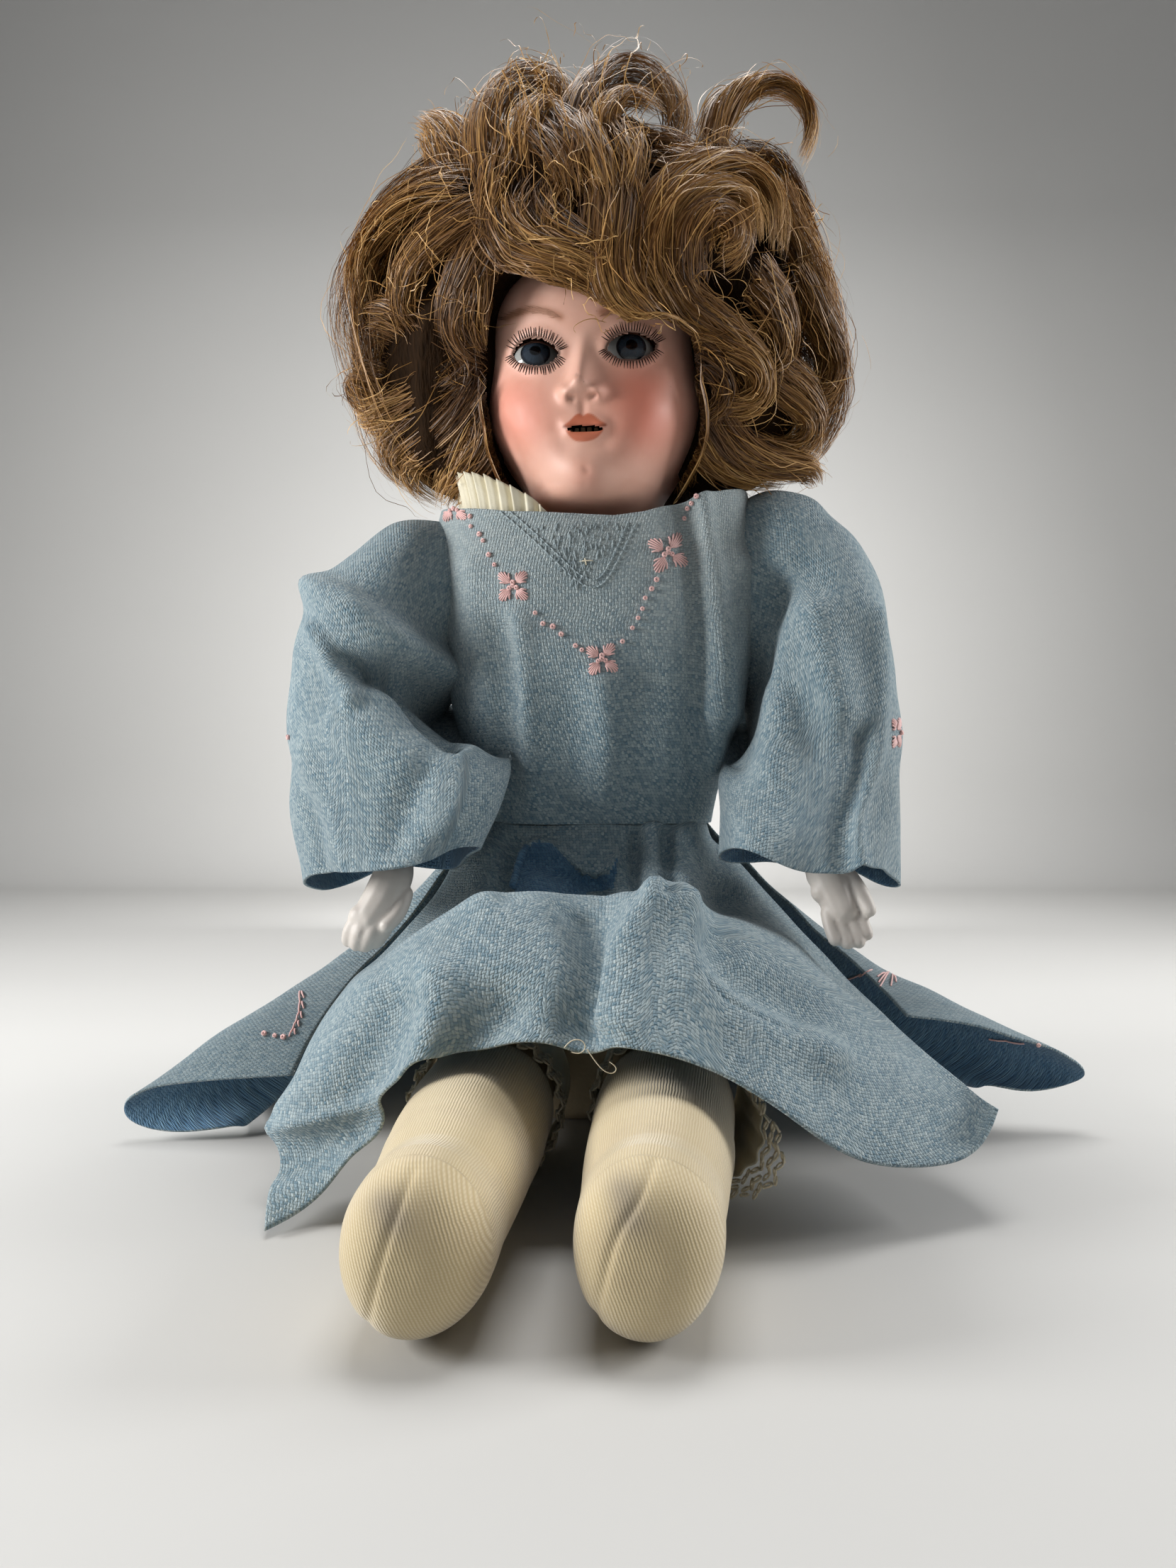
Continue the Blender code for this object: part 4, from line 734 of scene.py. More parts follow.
# Out, forward and up of each ring's middle, its half depth (forward, up), its half reach (out, up), and how
# far its outer end lies behind its inner end, in mm.
SLEEVE_SECTIONS = {
    "left": [
        ((2, -7, 200), (22, 0), (0, 24), 0),
        ((11, -8, 195), (26, 0), (0, 41), 0),
        ((21, -11, 188), (35, 0), (9, 51), 0),
        ((31, -16, 170), (38, 2), (30, 38), 0),
        ((33, -26, 147), (35, 6), (33, 10), 3),
        ((30, -40, 126), (31, 8), (33, 2), 4),
        ((28, -54, 109), (26, 2), (31.5, -4), 4),
        ((26, -61, 96), (23, -2), (31, -5), 4),
    ],
    "right": [
        ((0, -7, 199), (22, 0), (0, 23), 0),
        ((9, -9, 190), (27, 0), (1, 37), 0),
        ((19, -11, 178), (35, 0), (10, 44), 0),
        ((25, -18, 164), (38, 2), (36, 32), 0),
        ((22, -33, 146), (33, 6), (43, 9), 12),
        ((21, -46, 125), (29, 8), (41, 0), 13),
        ((19.5, -56, 108), (25, 2), (34, -5), 8),
        ((19.5, -61, 95), (23, -3), (30, -6), 6),
    ],
}
SLEEVE_FOLDS = {
    "right": [
        (8.0, 6.0, [(451, 838), (518, 885), (585, 917), (649, 957), (676, 1000), (680, 1035)]),
        (-12.0, 5.0, [(500, 941), (558, 948), (590, 980), (622, 1022), (640, 1040)]),
        (4.0, 3.2, [(447, 893), (471, 949), (497, 988)]),
        (3.5, 8.0, [(480, 1020), (560, 1060), (610, 1090)]),
        (-3.0, 6.0, [(601, 1087), (570, 1135), (556, 1185)]),
        (3.0, 6.0, [(650, 1060), (657, 1110), (630, 1160)]),
        (-2.5, 4.0, [(412, 1067), (431, 1115), (459, 1166), (465, 1215)]),
        (2.5, 3.0, [(424, 1060), (443, 1110), (472, 1160), (478, 1215)]),
        (2.0, 9.0, [(560, 760), (510, 830), (470, 880)]),
        (-2.0, 8.0, [(620, 780), (600, 850), (630, 900)]),
    ],
    "left": [
        (-7.0, 6.5, [(1086, 830), (1075, 901), (1055, 970), (1030, 1060)]),
        (5.0, 7.0, [(1150, 870), (1166, 930), (1181, 996)]),
        (-2.5, 8.0, [(1173, 731), (1130, 790), (1095, 846)]),
        (-2.5, 6.0, [(1110, 960), (1140, 1000), (1150, 1060)]),
        (3.0, 6.0, [(1090, 900), (1100, 990), (1085, 1080)]),
        (3.0, 3.0, [(1233, 870), (1245, 957), (1237, 1036), (1229, 1095), (1201, 1162), (1213, 1222)]),
        (-2.5, 3.5, [(1215, 1040), (1210, 1095), (1186, 1162), (1190, 1222)]),
        (2.5, 9.0, [(1150, 720), (1190, 780), (1210, 850)]),
    ],
}


def facing_out(points):
    """A tube's grid, with its columns turned round where its normals would point into the tube."""
    from_middle = points - points.mean(axis=1, keepdims=True)
    return points if (grid_normals(points, True) * from_middle).sum() > 0 else points[:, ::-1]


for side, sign in (("left", 1), ("right", -1)):
    rings = []
    for (out, forward, up), (depth, lift), (reach, hang), slant in SLEEVE_SECTIONS[side]:
        middle = (sign * (SLEEVE_BASE + out), forward, up)
        rings.append(oval(middle, (0, depth, lift), (sign * reach, slant, hang), SLEEVE_COLUMNS))
    tube = eased(rings, SLEEVE_ROWS) * MM
    turn = np.linspace(0, 2 * np.pi, SLEEVE_COLUMNS, endpoint=False)[None, :]
    cuff = np.clip(np.linspace(-2.2, 1, SLEEVE_ROWS), 0, 1)[:, None] ** 1.5
    tube[..., 2] += np.sin(3 * turn + 1) * cuff * CUFF_WAVE * MM
    tube = facing_out(tube)
    tube = tube + grid_normals(tube, True) * (np.sin(5 * turn + sign) * cuff * CUFF_WAVE * MM)[..., None]
    tube = dented(folded(tube, True, SLEEVE_FOLDS[side]), True, 0.022, 0.0016, 8 if side == "left" else 9)
    sleeve = skin(side + "_crepe_sleeve", tube, crepes[0], wrap=True)
    made_thick(sleeve, CREPE_THICKNESS, crepes[1])
    for face in sleeve.data.polygons:
        if abs(face.center.x) < ARMPIT_REACH and face.center.z > ARMPIT_FOOT:
            face.material_index = 0
    made(sleeve, side + "_arm", side + "_sleeve")

# Drawers
# Short legs of thin cream lawn, worn over the stocking tops and edged with three rows of crocheted loops. The
# skirt hides them but for one loose corner of the lace beside the left leg.
# Lawn: thin, matt, finely woven cotton, gone cream with age.
lawn = Finish("cream_cotton_lawn", "E6DFC8", 0.88, Sheen_Weight=0.2)
cloth = lawn.cloth()
lawn.mottled(cloth, 60.0, 4.0, "D2C6A2", "F1ECDB")
lawn.bump(lawn.noise(cloth, 1500.0), 0.4, 0.0003)
# Crochet cotton: a hard, round, matt cream thread.
crochet = Finish("cream_crochet_cotton", "E8DFCB", 0.85, Sheen_Weight=0.2)
crochet.mottled(crochet.place(), 900.0, 2.0, "CFC2A0", "F3ECDA")


def grown(name, places, edges, tree, values, finish, facing=None):
    """A plain mesh of what a Geometry Nodes tree grows on points, that may face a way, and on edges."""
    seed = bpy.data.meshes.new(name + "_places")
    seed.from_pydata([tuple(p) for p in places], edges, [])
    if facing is not None:
        layer = seed.attributes.new("facing", "FLOAT_VECTOR", "POINT")
        layer.data.foreach_set("vector", np.array(facing, dtype=np.float32).ravel())
    obj = shown(name, seed)
    growth = obj.modifiers.new("growth", "NODES")
    growth.node_group = tree
    for identifier, value in values.items():
        growth[identifier] = value
    settled(obj)
    if not obj.data.materials:
        obj.data.materials.append(finish.material)
    obj.data.shade_smooth()
    return obj


def growth_tree(name, sizes):
    """A Geometry Nodes tree that takes places and sizes, its input node, and the sizes by identifier."""
    tree = bpy.data.node_groups.new(name, "GeometryNodeTree")
    tree.interface.new_socket("Places", in_out="INPUT", socket_type="NodeSocketGeometry")
    values = {}
    for label, value in sizes.items():
        socket = tree.interface.new_socket(label, in_out="INPUT", socket_type="NodeSocketFloat")
        values[socket.identifier] = value
    tree.interface.new_socket("Threads", in_out="OUTPUT", socket_type="NodeSocketGeometry")
    return tree, add(tree, "NodeGroupInput"), values


def round_thread(tree, curve, radius):
    """A round thread along a curve."""
    section = add(tree, "GeometryNodeCurvePrimitiveCircle", {"Resolution": 5, "Radius": radius})
    inputs = {"Curve": curve.outputs[0], "Profile Curve": section.outputs[0], "Fill Caps": True}
    return add(tree, "GeometryNodeCurveToMesh", inputs)


def coated(tree, geometry, finish):
    """Ends a tree with plain geometry in one finish."""
    solid = add(tree, "GeometryNodeRealizeInstances", {0: geometry.outputs[0]})
    inputs = {"Geometry": solid.outputs[0], "Material": finish.material}
    covered = add(tree, "GeometryNodeSetMaterial", inputs)
    add(tree, "NodeGroupOutput", {0: covered.outputs[0]})


def coiled(name, places, facing, finish, radius, thread, turns, sides):
    """Small coils of thread, one on each place, that lie flat to the directions they face."""
    tree, start, values = growth_tree(name, {"Coil radius": radius, "Thread radius": thread, "Turns": turns})
    inputs = {
        "Resolution": sides,
        "Rotations": start.outputs["Turns"],
        "Start Radius": start.outputs["Coil radius"],
        "End Radius": start.outputs["Coil radius"],
        "Height": start.outputs["Thread radius"],
    }
    spiral = add(tree, "GeometryNodeCurveSpiral", inputs)
    coil = round_thread(tree, spiral, start.outputs["Thread radius"])
    heading = add(tree, "GeometryNodeInputNamedAttribute", {"Name": "facing"}, data_type="FLOAT_VECTOR")
    turned = add(tree, "FunctionNodeAlignRotationToVector", {"Vector": heading.outputs[0]}, axis="Z")
    size = add(tree, "FunctionNodeRandomValue", {2: 0.85, 3: 1.15, "Seed": 4}, data_type="FLOAT")
    inputs = {
        "Points": start.outputs["Places"],
        "Instance": coil.outputs[0],
        "Rotation": turned.outputs[0],
        "Scale": size.outputs[1],
    }
    coated(tree, add(tree, "GeometryNodeInstanceOnPoints", inputs), finish)
    return grown(name, places, [], tree, values, finish, facing)


DRAWERS_START = 31.0
DRAWERS_END = 56.0
DRAWERS_GROW = 2.9
DRAWERS_FLOOR_GAP = 0.0016
LAWN_THICKNESS = 0.0005
# How much further the hem hangs on its outer side, and how far it stands away from the stocking there, in mm.
DRAWERS_HANG = {"left": (34.0, 8.0), "right": (4.0, 1.0)}
DRAWERS_ROWS = 60
DRAWERS_COLUMNS = 132
LOOP_RADIUS = 1.35
LOOP_THREAD = 0.36
LOOP_ROWS = 3
for side, outward in (("left", 1), ("right", -1)):
    hip_x, toe_x = LEG_LINES[side]
    hang, flare = DRAWERS_HANG[side]
    turn = np.linspace(0, 2 * np.pi, DRAWERS_COLUMNS, endpoint=False)[None, :]
    outer = np.clip(np.cos(turn + outward * 0.35) * outward, 0, 1) ** 2
    lace_length = LOOP_ROWS * LOOP_RADIUS * 2.1
    lace_end = DRAWERS_END + lace_length
    tube = leg_tube(hip_x, toe_x, DRAWERS_GROW, DRAWERS_START, lace_end, DRAWERS_ROWS, DRAWERS_COLUMNS)
    reach = np.linspace(0, 1, DRAWERS_ROWS)[:, None]
    tube[..., 1] -= hang * outer * reach * MM
    tube[..., 0] += outward * outer * reach**2 * flare * MM
    tube = tube + grid_normals(tube, True) * (np.sin(turn * 22) * 0.9 * MM * reach)[..., None]
    tube[..., 2] = np.maximum(tube[..., 2], DRAWERS_FLOOR_GAP)
    last = int(DRAWERS_ROWS * (DRAWERS_END - DRAWERS_START) / (lace_end - DRAWERS_START))
    drawers = skin(side + "_lawn_drawers", facing_out(tube[:last]), lawn, wrap=True)
    made_thick(drawers, LAWN_THICKNESS, lawn)
    made(drawers, side + "_leg", side + "_drawers_leg")

    places = []
    normals = grid_normals(tube, True)
    facing = []
    for row in range(LOOP_ROWS):
        level = min(int(last + (DRAWERS_ROWS - last) * (row + 0.5) / LOOP_ROWS), DRAWERS_ROWS - 1)
        for number in range(DRAWERS_COLUMNS // 2):
            spot = (2 * number + row % 2) % DRAWERS_COLUMNS
            places.append(tube[level, spot])
            facing.append(normals[level, spot])
    lace = coiled(side + "_crochet_lace", places, facing, crochet, LOOP_RADIUS * MM, LOOP_THREAD * MM, 1.0, 9)
    made(lace, side + "_leg", side + "_drawers_lace")

# Chemise collar
# The pleated lawn collar of a chemise under the dress. It stays down inside the neckline, but for the doll's
# right shoulder, where it stands up and leans out in crisp narrow pleats.
COLLAR_INSET = 2.6
COLLAR_FOOT = 213.0
COLLAR_PLEATS = 56
COLLAR_PLEAT_DEPTH = 1.5
COLLAR_LEAN = 4.0
COLLAR_THICKNESS = 0.0004
# Height of the top edge over the doll's own right to left, in mm.
COLLAR_TOP = [(-55, 240), (-45, 239), (-35, 235), (-27, 230.5), (-20, 226), (-12, 217.5), (0, 216.5)]
COLLAR_TOP += [(55, 216.5)]
COLLAR_COLUMNS = 560
COLLAR_ROWS = 26
ring = oval((0, 0, 0), (50.5 - COLLAR_INSET, 0, 0), (0, 1, 0), COLLAR_COLUMNS, 2.9)
ring[:, 1] *= np.where(ring[:, 1] < 0, 44 - COLLAR_INSET, 26 - COLLAR_INSET)
top = np.interp(ring[:, 0], *np.array(COLLAR_TOP, float).T)
top = np.where(ring[:, 1] > 0, np.minimum(top, 232), top)
steps = np.linalg.norm(np.roll(ring, -1, axis=0) - ring, axis=1)
run = np.cumsum(steps) / steps.sum()
wave = np.sin(2 * np.pi * COLLAR_PLEATS * run) + 0.35 * np.sin(4 * np.pi * COLLAR_PLEATS * run + 0.6)
rng = np.random.default_rng(12)
depths = rng.uniform(0.6, 1.25, COLLAR_PLEATS + 1)
uneven = np.interp(run * COLLAR_PLEATS, np.arange(COLLAR_PLEATS + 1), depths)
outward = ring / np.linalg.norm(ring, axis=1, keepdims=True)
collar_grid = []
for level in np.linspace(0, 1, COLLAR_ROWS):
    standing = np.clip((top - 218) / 18, 0, 1)
    bend = COLLAR_LEAN * standing * level**2 + wave * uneven * COLLAR_PLEAT_DEPTH * (0.3 + 0.7 * level)
    row = ring + outward * bend[:, None]
    row[:, 2] = COLLAR_FOOT + (top - COLLAR_FOOT) * level + 0.5 * wave * level * standing
    collar_grid.append(row)
collar_grid = facing_out(np.array(collar_grid) * MM)
collar = skin("lawn_chemise_collar", collar_grid, lawn, wrap=True)
made_thick(collar, COLLAR_THICKNESS, lawn)
made(collar, "trunk", "chemise_collar")

# Bisque forearms
# Poured white bisque, left untinted, glued into the muslin sleeves of the upper arms at the elbow. The right
# hand is loosely closed, and the left hangs open with its palm to the front; its creases are painted darker
# grey, as shade.
white_bisque = Finish(
    "white_bisque",
    "D6CFC6",
    0.5,
    IOR=1.5,
    Subsurface_Weight=0.08,
    Subsurface_Radius=(0.003, 0.0022, 0.0018),
    Subsurface_Scale=0.3,
)
place = white_bisque.place()
aged = white_bisque.mix(white_bisque.noise(place, 70.0, 5.0), "BDB3AA", "E4DED6")
# Painted shade: the colour turns darker grey in the creases, where Pointiness is low.
crease = white_bisque.node("NewGeometry", output="Pointiness")
crease_shade = white_bisque.span(crease, 0.40, 0.49, 0.75, 0.0)
white_bisque.show("Base Color", white_bisque.mix(crease_shade, aged, "8F7F76"))
white_bisque.bump(white_bisque.noise(place, 1500.0), 0.08, 0.0002)
# Each limb runs through places (out, forward, up) with a radius, in mm.
ARM_LIMBS = {
    "right": [
        [(-80, -25, 154, 9.6), (-78, -36, 136, 9.2), (-73, -50, 114, 8.2), (-67, -60, 98, 7),
            (-66.5, -63, 93, 6.8)],
        [(-67, -64, 92, 7.0), (-70, -67, 84, 7.2), (-73, -69, 79, 6.8)],
        [(-68, -68, 84, 4.6), (-76, -70, 80, 4.6)],
        [(-66.5, -70, 80, 3.0), (-68.5, -73, 75.5, 2.9), (-71, -71, 72, 2.7)],
        [(-70, -71.5, 79, 3.1), (-72.5, -74, 74, 3.0), (-74.5, -71, 70.8, 2.7)],
        [(-74, -71.5, 79, 3.1), (-76.5, -73.5, 74, 2.9), (-77.5, -70.5, 71, 2.6)],
        [(-77.5, -70, 79, 2.9), (-80, -71.5, 74.5, 2.7), (-80.5, -69, 72, 2.4)],
        [(-62.5, -66, 87, 3.2), (-63.5, -71, 81, 2.9), (-67, -74, 77.5, 2.5)],
    ],
    "left": [
        [(84, -25, 154, 9.6), (84, -36, 136, 9.2), (82, -50, 114, 8.2), (78.5, -60, 99, 7.0),
            (79, -63, 94, 6.8)],
        [(79.5, -63.5, 93, 6.6), (81.5, -66, 87, 6.4), (83.5, -68, 82, 5.8)],
        [(77.5, -66, 88, 4.2), (86.5, -67, 86, 4.2)],
        [(78.8, -68.5, 81, 2.7), (79.2, -71, 76, 2.5), (80, -73.5, 72.8, 2.2)],
        [(82.2, -69, 80.5, 2.8), (83.2, -71.5, 75, 2.6), (84, -74, 71.8, 2.3)],
        [(85.6, -69, 80.5, 2.8), (87, -71.5, 75.5, 2.6), (87.8, -74, 72.2, 2.3)],
        [(88.6, -68.5, 81.5, 2.6), (90, -71, 77.5, 2.4), (90.8, -73, 74.6, 2.1)],
        [(86, -64.5, 93, 3.6), (89.5, -68.5, 88, 3.2), (91.6, -72.5, 82.5, 2.5)],
    ],
}
VOXEL = 0.00065
for side, limbs in ARM_LIMBS.items():
    clay = bmesh.new()
    for limb in limbs:
        for x, y, z, radius in eased(limb, 9 * len(limb)):
            place = Matrix.Translation(Vector((x, y, z)) * MM)
            bmesh.ops.create_icosphere(clay, subdivisions=2, radius=radius * MM, matrix=place)
    mesh = bpy.data.meshes.new(side + "_forearm")
    clay.to_mesh(mesh)
    clay.free()
    forearm = shown(side + "_bisque_forearm", mesh)
    joined = forearm.modifiers.new("joined", "REMESH")
    joined.mode = "VOXEL"
    joined.voxel_size = VOXEL
    wiped = forearm.modifiers.new("wiped", "SMOOTH")
    wiped.factor = 0.5
    wiped.iterations = 6
    settled(forearm)
    forearm.data.materials.clear()
    forearm.data.materials.append(white_bisque.material)
    forearm.data.shade_smooth()
    made(forearm, side + "_arm", side + "_forearm")

# Head
# Poured bisque, hollow, fired with a matt flesh tint. The cheeks are rouged, the lips, brows and lashes
# painted by hand, and the eye openings and the mouth cut through the wall before firing.
HEAD_PIVOT = Vector((0, -6, 216))
HEAD_TURN = Matrix.Rotation(math.radians(-6), 3, "Z") @ Matrix.Rotation(math.radians(-3), 3, "Y")
HEAD_SHIFT = 3.0
# Height above the pivot, half width, and reach to the front and to the back, in mm.
SKULL_SECTIONS = [
    (-14, 15, 15, 15),
    (-2, 18.5, 18.5, 18.5),
    (5, 20.8, 21.5, 20.8),
    (8, 22.0, 27.5, 21.6),
    (11, 23.2, 36.5, 22.8),
    (16, 25.4, 40.5, 25.5),
    (22, 29.2, 42.2, 28.8),
    (28, 33.0, 42.8, 32.4),
    (34, 36.6, 43.2, 36.2),
    (42, 40.0, 43.4, 41),
    (50, 41.2, 43.0, 44),
    (58, 40.4, 42.4, 46),
    (66, 39.2, 42.6, 46),
    (75, 38.8, 42.6, 45.4),
    (84, 38.2, 41, 43),
    (92, 36, 37.6, 38.6),
    (98, 32, 32, 33),
]
FACE_COLUMNS = 250
BACK_COLUMNS = 70


def in_head(points):
    """Head places, in mm above the neck pivot, as places in the world, in metres."""
    points = np.asarray(points, float)
    world = points @ np.array(HEAD_TURN).T + np.array(HEAD_PIVOT)
    world[..., 0] += HEAD_SHIFT * np.clip((points[..., 2] - 2) / 14, 0, 1)
    return world * MM


front_turn = np.linspace(np.pi, 2 * np.pi, FACE_COLUMNS)
back_turn = np.linspace(0, np.pi, BACK_COLUMNS + 2)[1:-1]
turn = np.concatenate([front_turn, back_turn])
SKULL_SQUARENESS = 2.25
FACE_ASIDE = 2.0
rings = []
for height, half_width, front, back in SKULL_SECTIONS:
    x = np.sign(np.cos(turn)) * np.abs(np.cos(turn)) ** (2 / SKULL_SQUARENESS) * half_width
    x = x + FACE_ASIDE * np.clip((height - 8) / 14, 0, 1)
    y = np.sign(np.sin(turn)) * np.abs(np.sin(turn)) ** (2 / SKULL_SQUARENESS)
    y = y * np.where(y < 0, front, back)
    rings.append(np.stack([x, y, np.full(len(turn), float(height))], axis=1))
face_grid = in_head(eased(rings, 230))

# Each modelled feature: its height and half width, in mm, and its line, in pixels of the photograph.
FACE_FORMS = [
    (2.2, 11.0, [(734, 588), (738, 596)]),
    (2.2, 11.0, [(906, 584), (902, 592)]),
    (2.4, 8.0, [(822, 668), (830, 668)]),
    (-1.8, 9.0, [(742, 497), (768, 497)]),
    (-1.8, 9.0, [(878, 489), (904, 488)]),
    (1.0, 2.4, [(720, 494), (736, 474), (757, 467), (778, 474), (792, 492)]),
    (1.0, 2.4, [(852, 486), (868, 466), (890, 460), (912, 465), (930, 482)]),
    (0.8, 2.2, [(722, 506), (738, 520), (757, 524), (777, 518), (791, 504)]),
    (0.8, 2.2, [(853, 498), (870, 511), (890, 516), (912, 510), (930, 494)]),
    (2.9, 2.6, [(798, 556), (800, 559)]),
    (2.9, 2.6, [(845, 553), (843, 556)]),
    (-1.5, 1.0, [(803, 563), (808, 564)]),
    (-1.5, 1.0, [(834, 561), (839, 560)]),
    (-0.6, 1.4, [(822, 568), (823, 582)]),
    (0.9, 2.4, [(798, 599), (812, 591), (823, 593), (835, 590), (853, 598)]),
    (1.1, 2.6, [(804, 612), (824, 616), (846, 610)]),
    (-0.9, 4.2, [(800, 629), (824, 633), (850, 627)]),
    (-0.35, 2.6, [(786, 602), (789, 604)]),
    (-0.35, 2.6, [(862, 599), (865, 601)]),
    (-0.25, 1.3, [(826, 662), (828, 664)]),
    (0.6, 10.0, [(800, 420), (860, 418)]),
]
face_grid = folded(face_grid, True, FACE_FORMS)
# The nose rises from the brow to a round tip and turns sharply under: its ridge in pixels, its size in mm.
NOSE_TOP = (824, 458)
NOSE_TIP = (819, 545)
NOSE_HEIGHT = 6.6
NOSE_HALF_WIDTH = (2.3, 4.2)
NOSE_UNDERSIDE = 0.19
place, pixel = seen(face_grid)
down = (place[..., 1] - NOSE_TOP[1]) / (NOSE_TIP[1] - NOSE_TOP[1])
ridge = NOSE_TOP[0] + (NOSE_TIP[0] - NOSE_TOP[0]) * down
aside = (place[..., 0] - ridge) * pixel / MM
rise = np.where(down < 1, np.clip(down, 0, 1) ** 1.7, np.exp(-(((down - 1) / NOSE_UNDERSIDE) ** 2)))
wide = NOSE_HALF_WIDTH[0] + (NOSE_HALF_WIDTH[1] - NOSE_HALF_WIDTH[0]) * np.clip(down, 0, 1)
normals = grid_normals(face_grid, True)
rise = rise * np.exp(-((aside / wide) ** 2)) * toward_camera(normals)
face_grid = face_grid + np.array(HEAD_TURN) @ np.array([0, -1, 0.12]) * (rise * NOSE_HEIGHT * MM)[..., None]

# A small chip on the tip of the nose.
face_grid = folded(face_grid, True, [(-0.4, 0.8, [(814, 529), (817, 537)])])

# Eye and mouth openings: outlines in pixels of the photograph, from the doll's right corner over the top.
EYE_OUTLINES = {
    "right": [
        *((723, 500), (732, 484), (746, 477), (760, 476), (775, 481), (785, 490)),
        *((789, 498), (784, 507), (773, 514), (758, 517), (742, 515), (730, 508)),
    ],
    "left": [
        *((855, 491), (863, 477), (876, 470), (891, 468), (907, 471), (920, 478)),
        *((927, 486), (922, 496), (910, 504), (893, 508), (875, 506), (862, 499)),
    ],
}
MOUTH_OUTLINE = [(797, 605), (808, 600), (823, 599), (838, 599), (853, 603)]
MOUTH_OUTLINE += [(845, 608), (824, 609), (806, 609)]


def sight(pixel):
    """The camera's line of sight through a pixel of the photograph, as a unit vector."""
    across, down = pixel[0] - IMAGE_WIDTH / 2, pixel[1] - IMAGE_HEIGHT / 2
    return Vector((across, FOCAL_PIXELS, -down)).normalized()


# Tinted bisque: matt and slightly waxy, with soft light under the skin, fine kiln specks and brushed rouge.
PAINT_COLOURS = {
    "rouge": "D96F55",
    "lip_paint": "BE6443",
    "brow_paint": "A36B4C",
    "shade": "5A2A1E",
    "lash_line": "1C120F",
}
bisque = Finish(
    "tinted_bisque",
    "E3B4A0",
    0.42,
    IOR=1.5,
    Subsurface_Weight=0.12,
    Subsurface_Radius=(0.004, 0.0018, 0.001),
    Subsurface_Scale=0.4,
)
place = bisque.place()
mottle = bisque.noise(place, 160.0, 5.0)
painted = bisque.mix(mottle, "DCA893", "E8BBA8")
for paint, hex_colour in PAINT_COLOURS.items():
    mask = bisque.mask(paint)
    painted = bisque.mix(mask, painted, hex_colour)
speck = bisque.node("TexVoronoi", {"Vector": place, "Scale": 120.0, "Randomness": 1.0}, "Distance")
bisque.show("Base Color", bisque.mix(bisque.span(speck, 0.02, 0.045, 0.5, 0.0), painted, "8A5A48"))
# The last paint, the line round the eyes, is dull.
polish = bisque.span(mottle, 0.3, 0.7, 0.44, 0.58)
bisque.show("Roughness", bisque.count("ADD", polish, mask, use_clamp=True))
bisque.bump(bisque.noise(place, 1800.0), 0.06, 0.0002)

head = skin("bisque_head_shell", face_grid, bisque, wrap=True)
openings = [rounded(EYE_OUTLINES[side], 60) for side in ("right", "left")] + [rounded(MOUTH_OUTLINE, 48)]
places = np.array([v.co for v in head.data.vertices])
ahead = places[:, 1] < HEAD_PIVOT.y * MM
cut_out = np.zeros(len(places), bool)
for outline in openings:
    cut_out |= within(places, outline) & ahead
# Each stroke: its strength, its half width in mm, and its line, in pixels of the photograph.
paints = {
    "rouge": [
        (0.6, 12.5, [(735, 592), (726, 572)]),
        (0.72, 13.5, [(904, 556), (912, 592)]),
        (0.22, 6.0, [(826, 672), (828, 674)]),
    ],
    "brow_paint": [
        (0.8, 1.7, [(716, 449), (735, 439), (757, 436), (780, 440), (790, 447)]),
        (0.8, 1.7, [(850, 440), (870, 430), (893, 427), (920, 432)]),
    ],
    "shade": [
        (0.4, 0.9, [(803, 561), (808, 562)]),
        (0.4, 0.9, [(834, 558), (839, 557)]),
        (0.6, 0.6, [(796, 602), (823, 602), (853, 600)]),
        (0.16, 0.8, [(826, 662), (828, 664)]),
        (0.4, 0.5, [(813, 528), (818, 530), (819, 536)]),
    ],
    "lash_line": [(0.95, 0.55, np.vstack([outline, outline[:1]])) for outline in openings[:2]],
}
for paint, strokes in paints.items():
    depth = np.zeros(len(places))
    for strength, half_width, line in strokes:
        away = beside(places, eased(line, 60)) / (half_width * MM)
        depth = np.maximum(depth, strength * np.exp(-(away**2)))
    marked(head.data, paint, depth * ahead)
UPPER_LIP = [(794, 602), (803, 594), (811, 586), (818, 583), (823, 586), (829, 583)]
UPPER_LIP += [(837, 585), (847, 593), (856, 600), (840, 603), (823, 605), (808, 604)]
LOWER_LIP = [(799, 606), (824, 607), (850, 604), (845, 615), (835, 621), (824, 623), (812, 622), (804, 616)]
LIP_EDGE = 0.5
LIP_STRENGTH = 0.92
lip_depth = np.zeros(len(places))
for lip in (UPPER_LIP, LOWER_LIP):
    outline = rounded(lip, 60)
    away = beside(places, np.vstack([outline, outline[:1]])) / MM
    outside = np.where(within(places, outline), -1, 1) * away
    lip_depth = np.maximum(lip_depth, np.clip(0.5 - outside / LIP_EDGE, 0, 1))
marked(head.data, "lip_paint", lip_depth * ahead * LIP_STRENGTH)

# The openings are cut, their edges drawn to the outlines, and the wall turned inwards.
WALL = 1.5
WALL_SHADE = 0.7
shell = bmesh.new()
shell.from_mesh(head.data)
shell.verts.ensure_lookup_table()
surface = BVHTree.FromBMesh(shell)
gone = [face for face in shell.faces if all(cut_out[v.index] for v in face.verts)]
bmesh.ops.delete(shell, geom=gone, context="FACES")
outlines = np.vstack([rounded(outline, 400) for outline in (*EYE_OUTLINES.values(), MOUTH_OUTLINE)])
edges = [e for e in shell.edges if e.is_boundary and all(cut_out[v.index] for v in e.verts)]
for vert in {v for e in edges for v in e.verts}:
    place, _ = seen(np.array(vert.co))
    nearest = outlines[np.argmin(np.linalg.norm(outlines - place, axis=1))]
    vert.co = surface.ray_cast(CAMERA_PLACE, sight(nearest))[0] or vert.co
turned = bmesh.ops.extrude_edge_only(shell, edges=edges)["geom"]
wall_shade = shell.verts.layers.float["shade"]
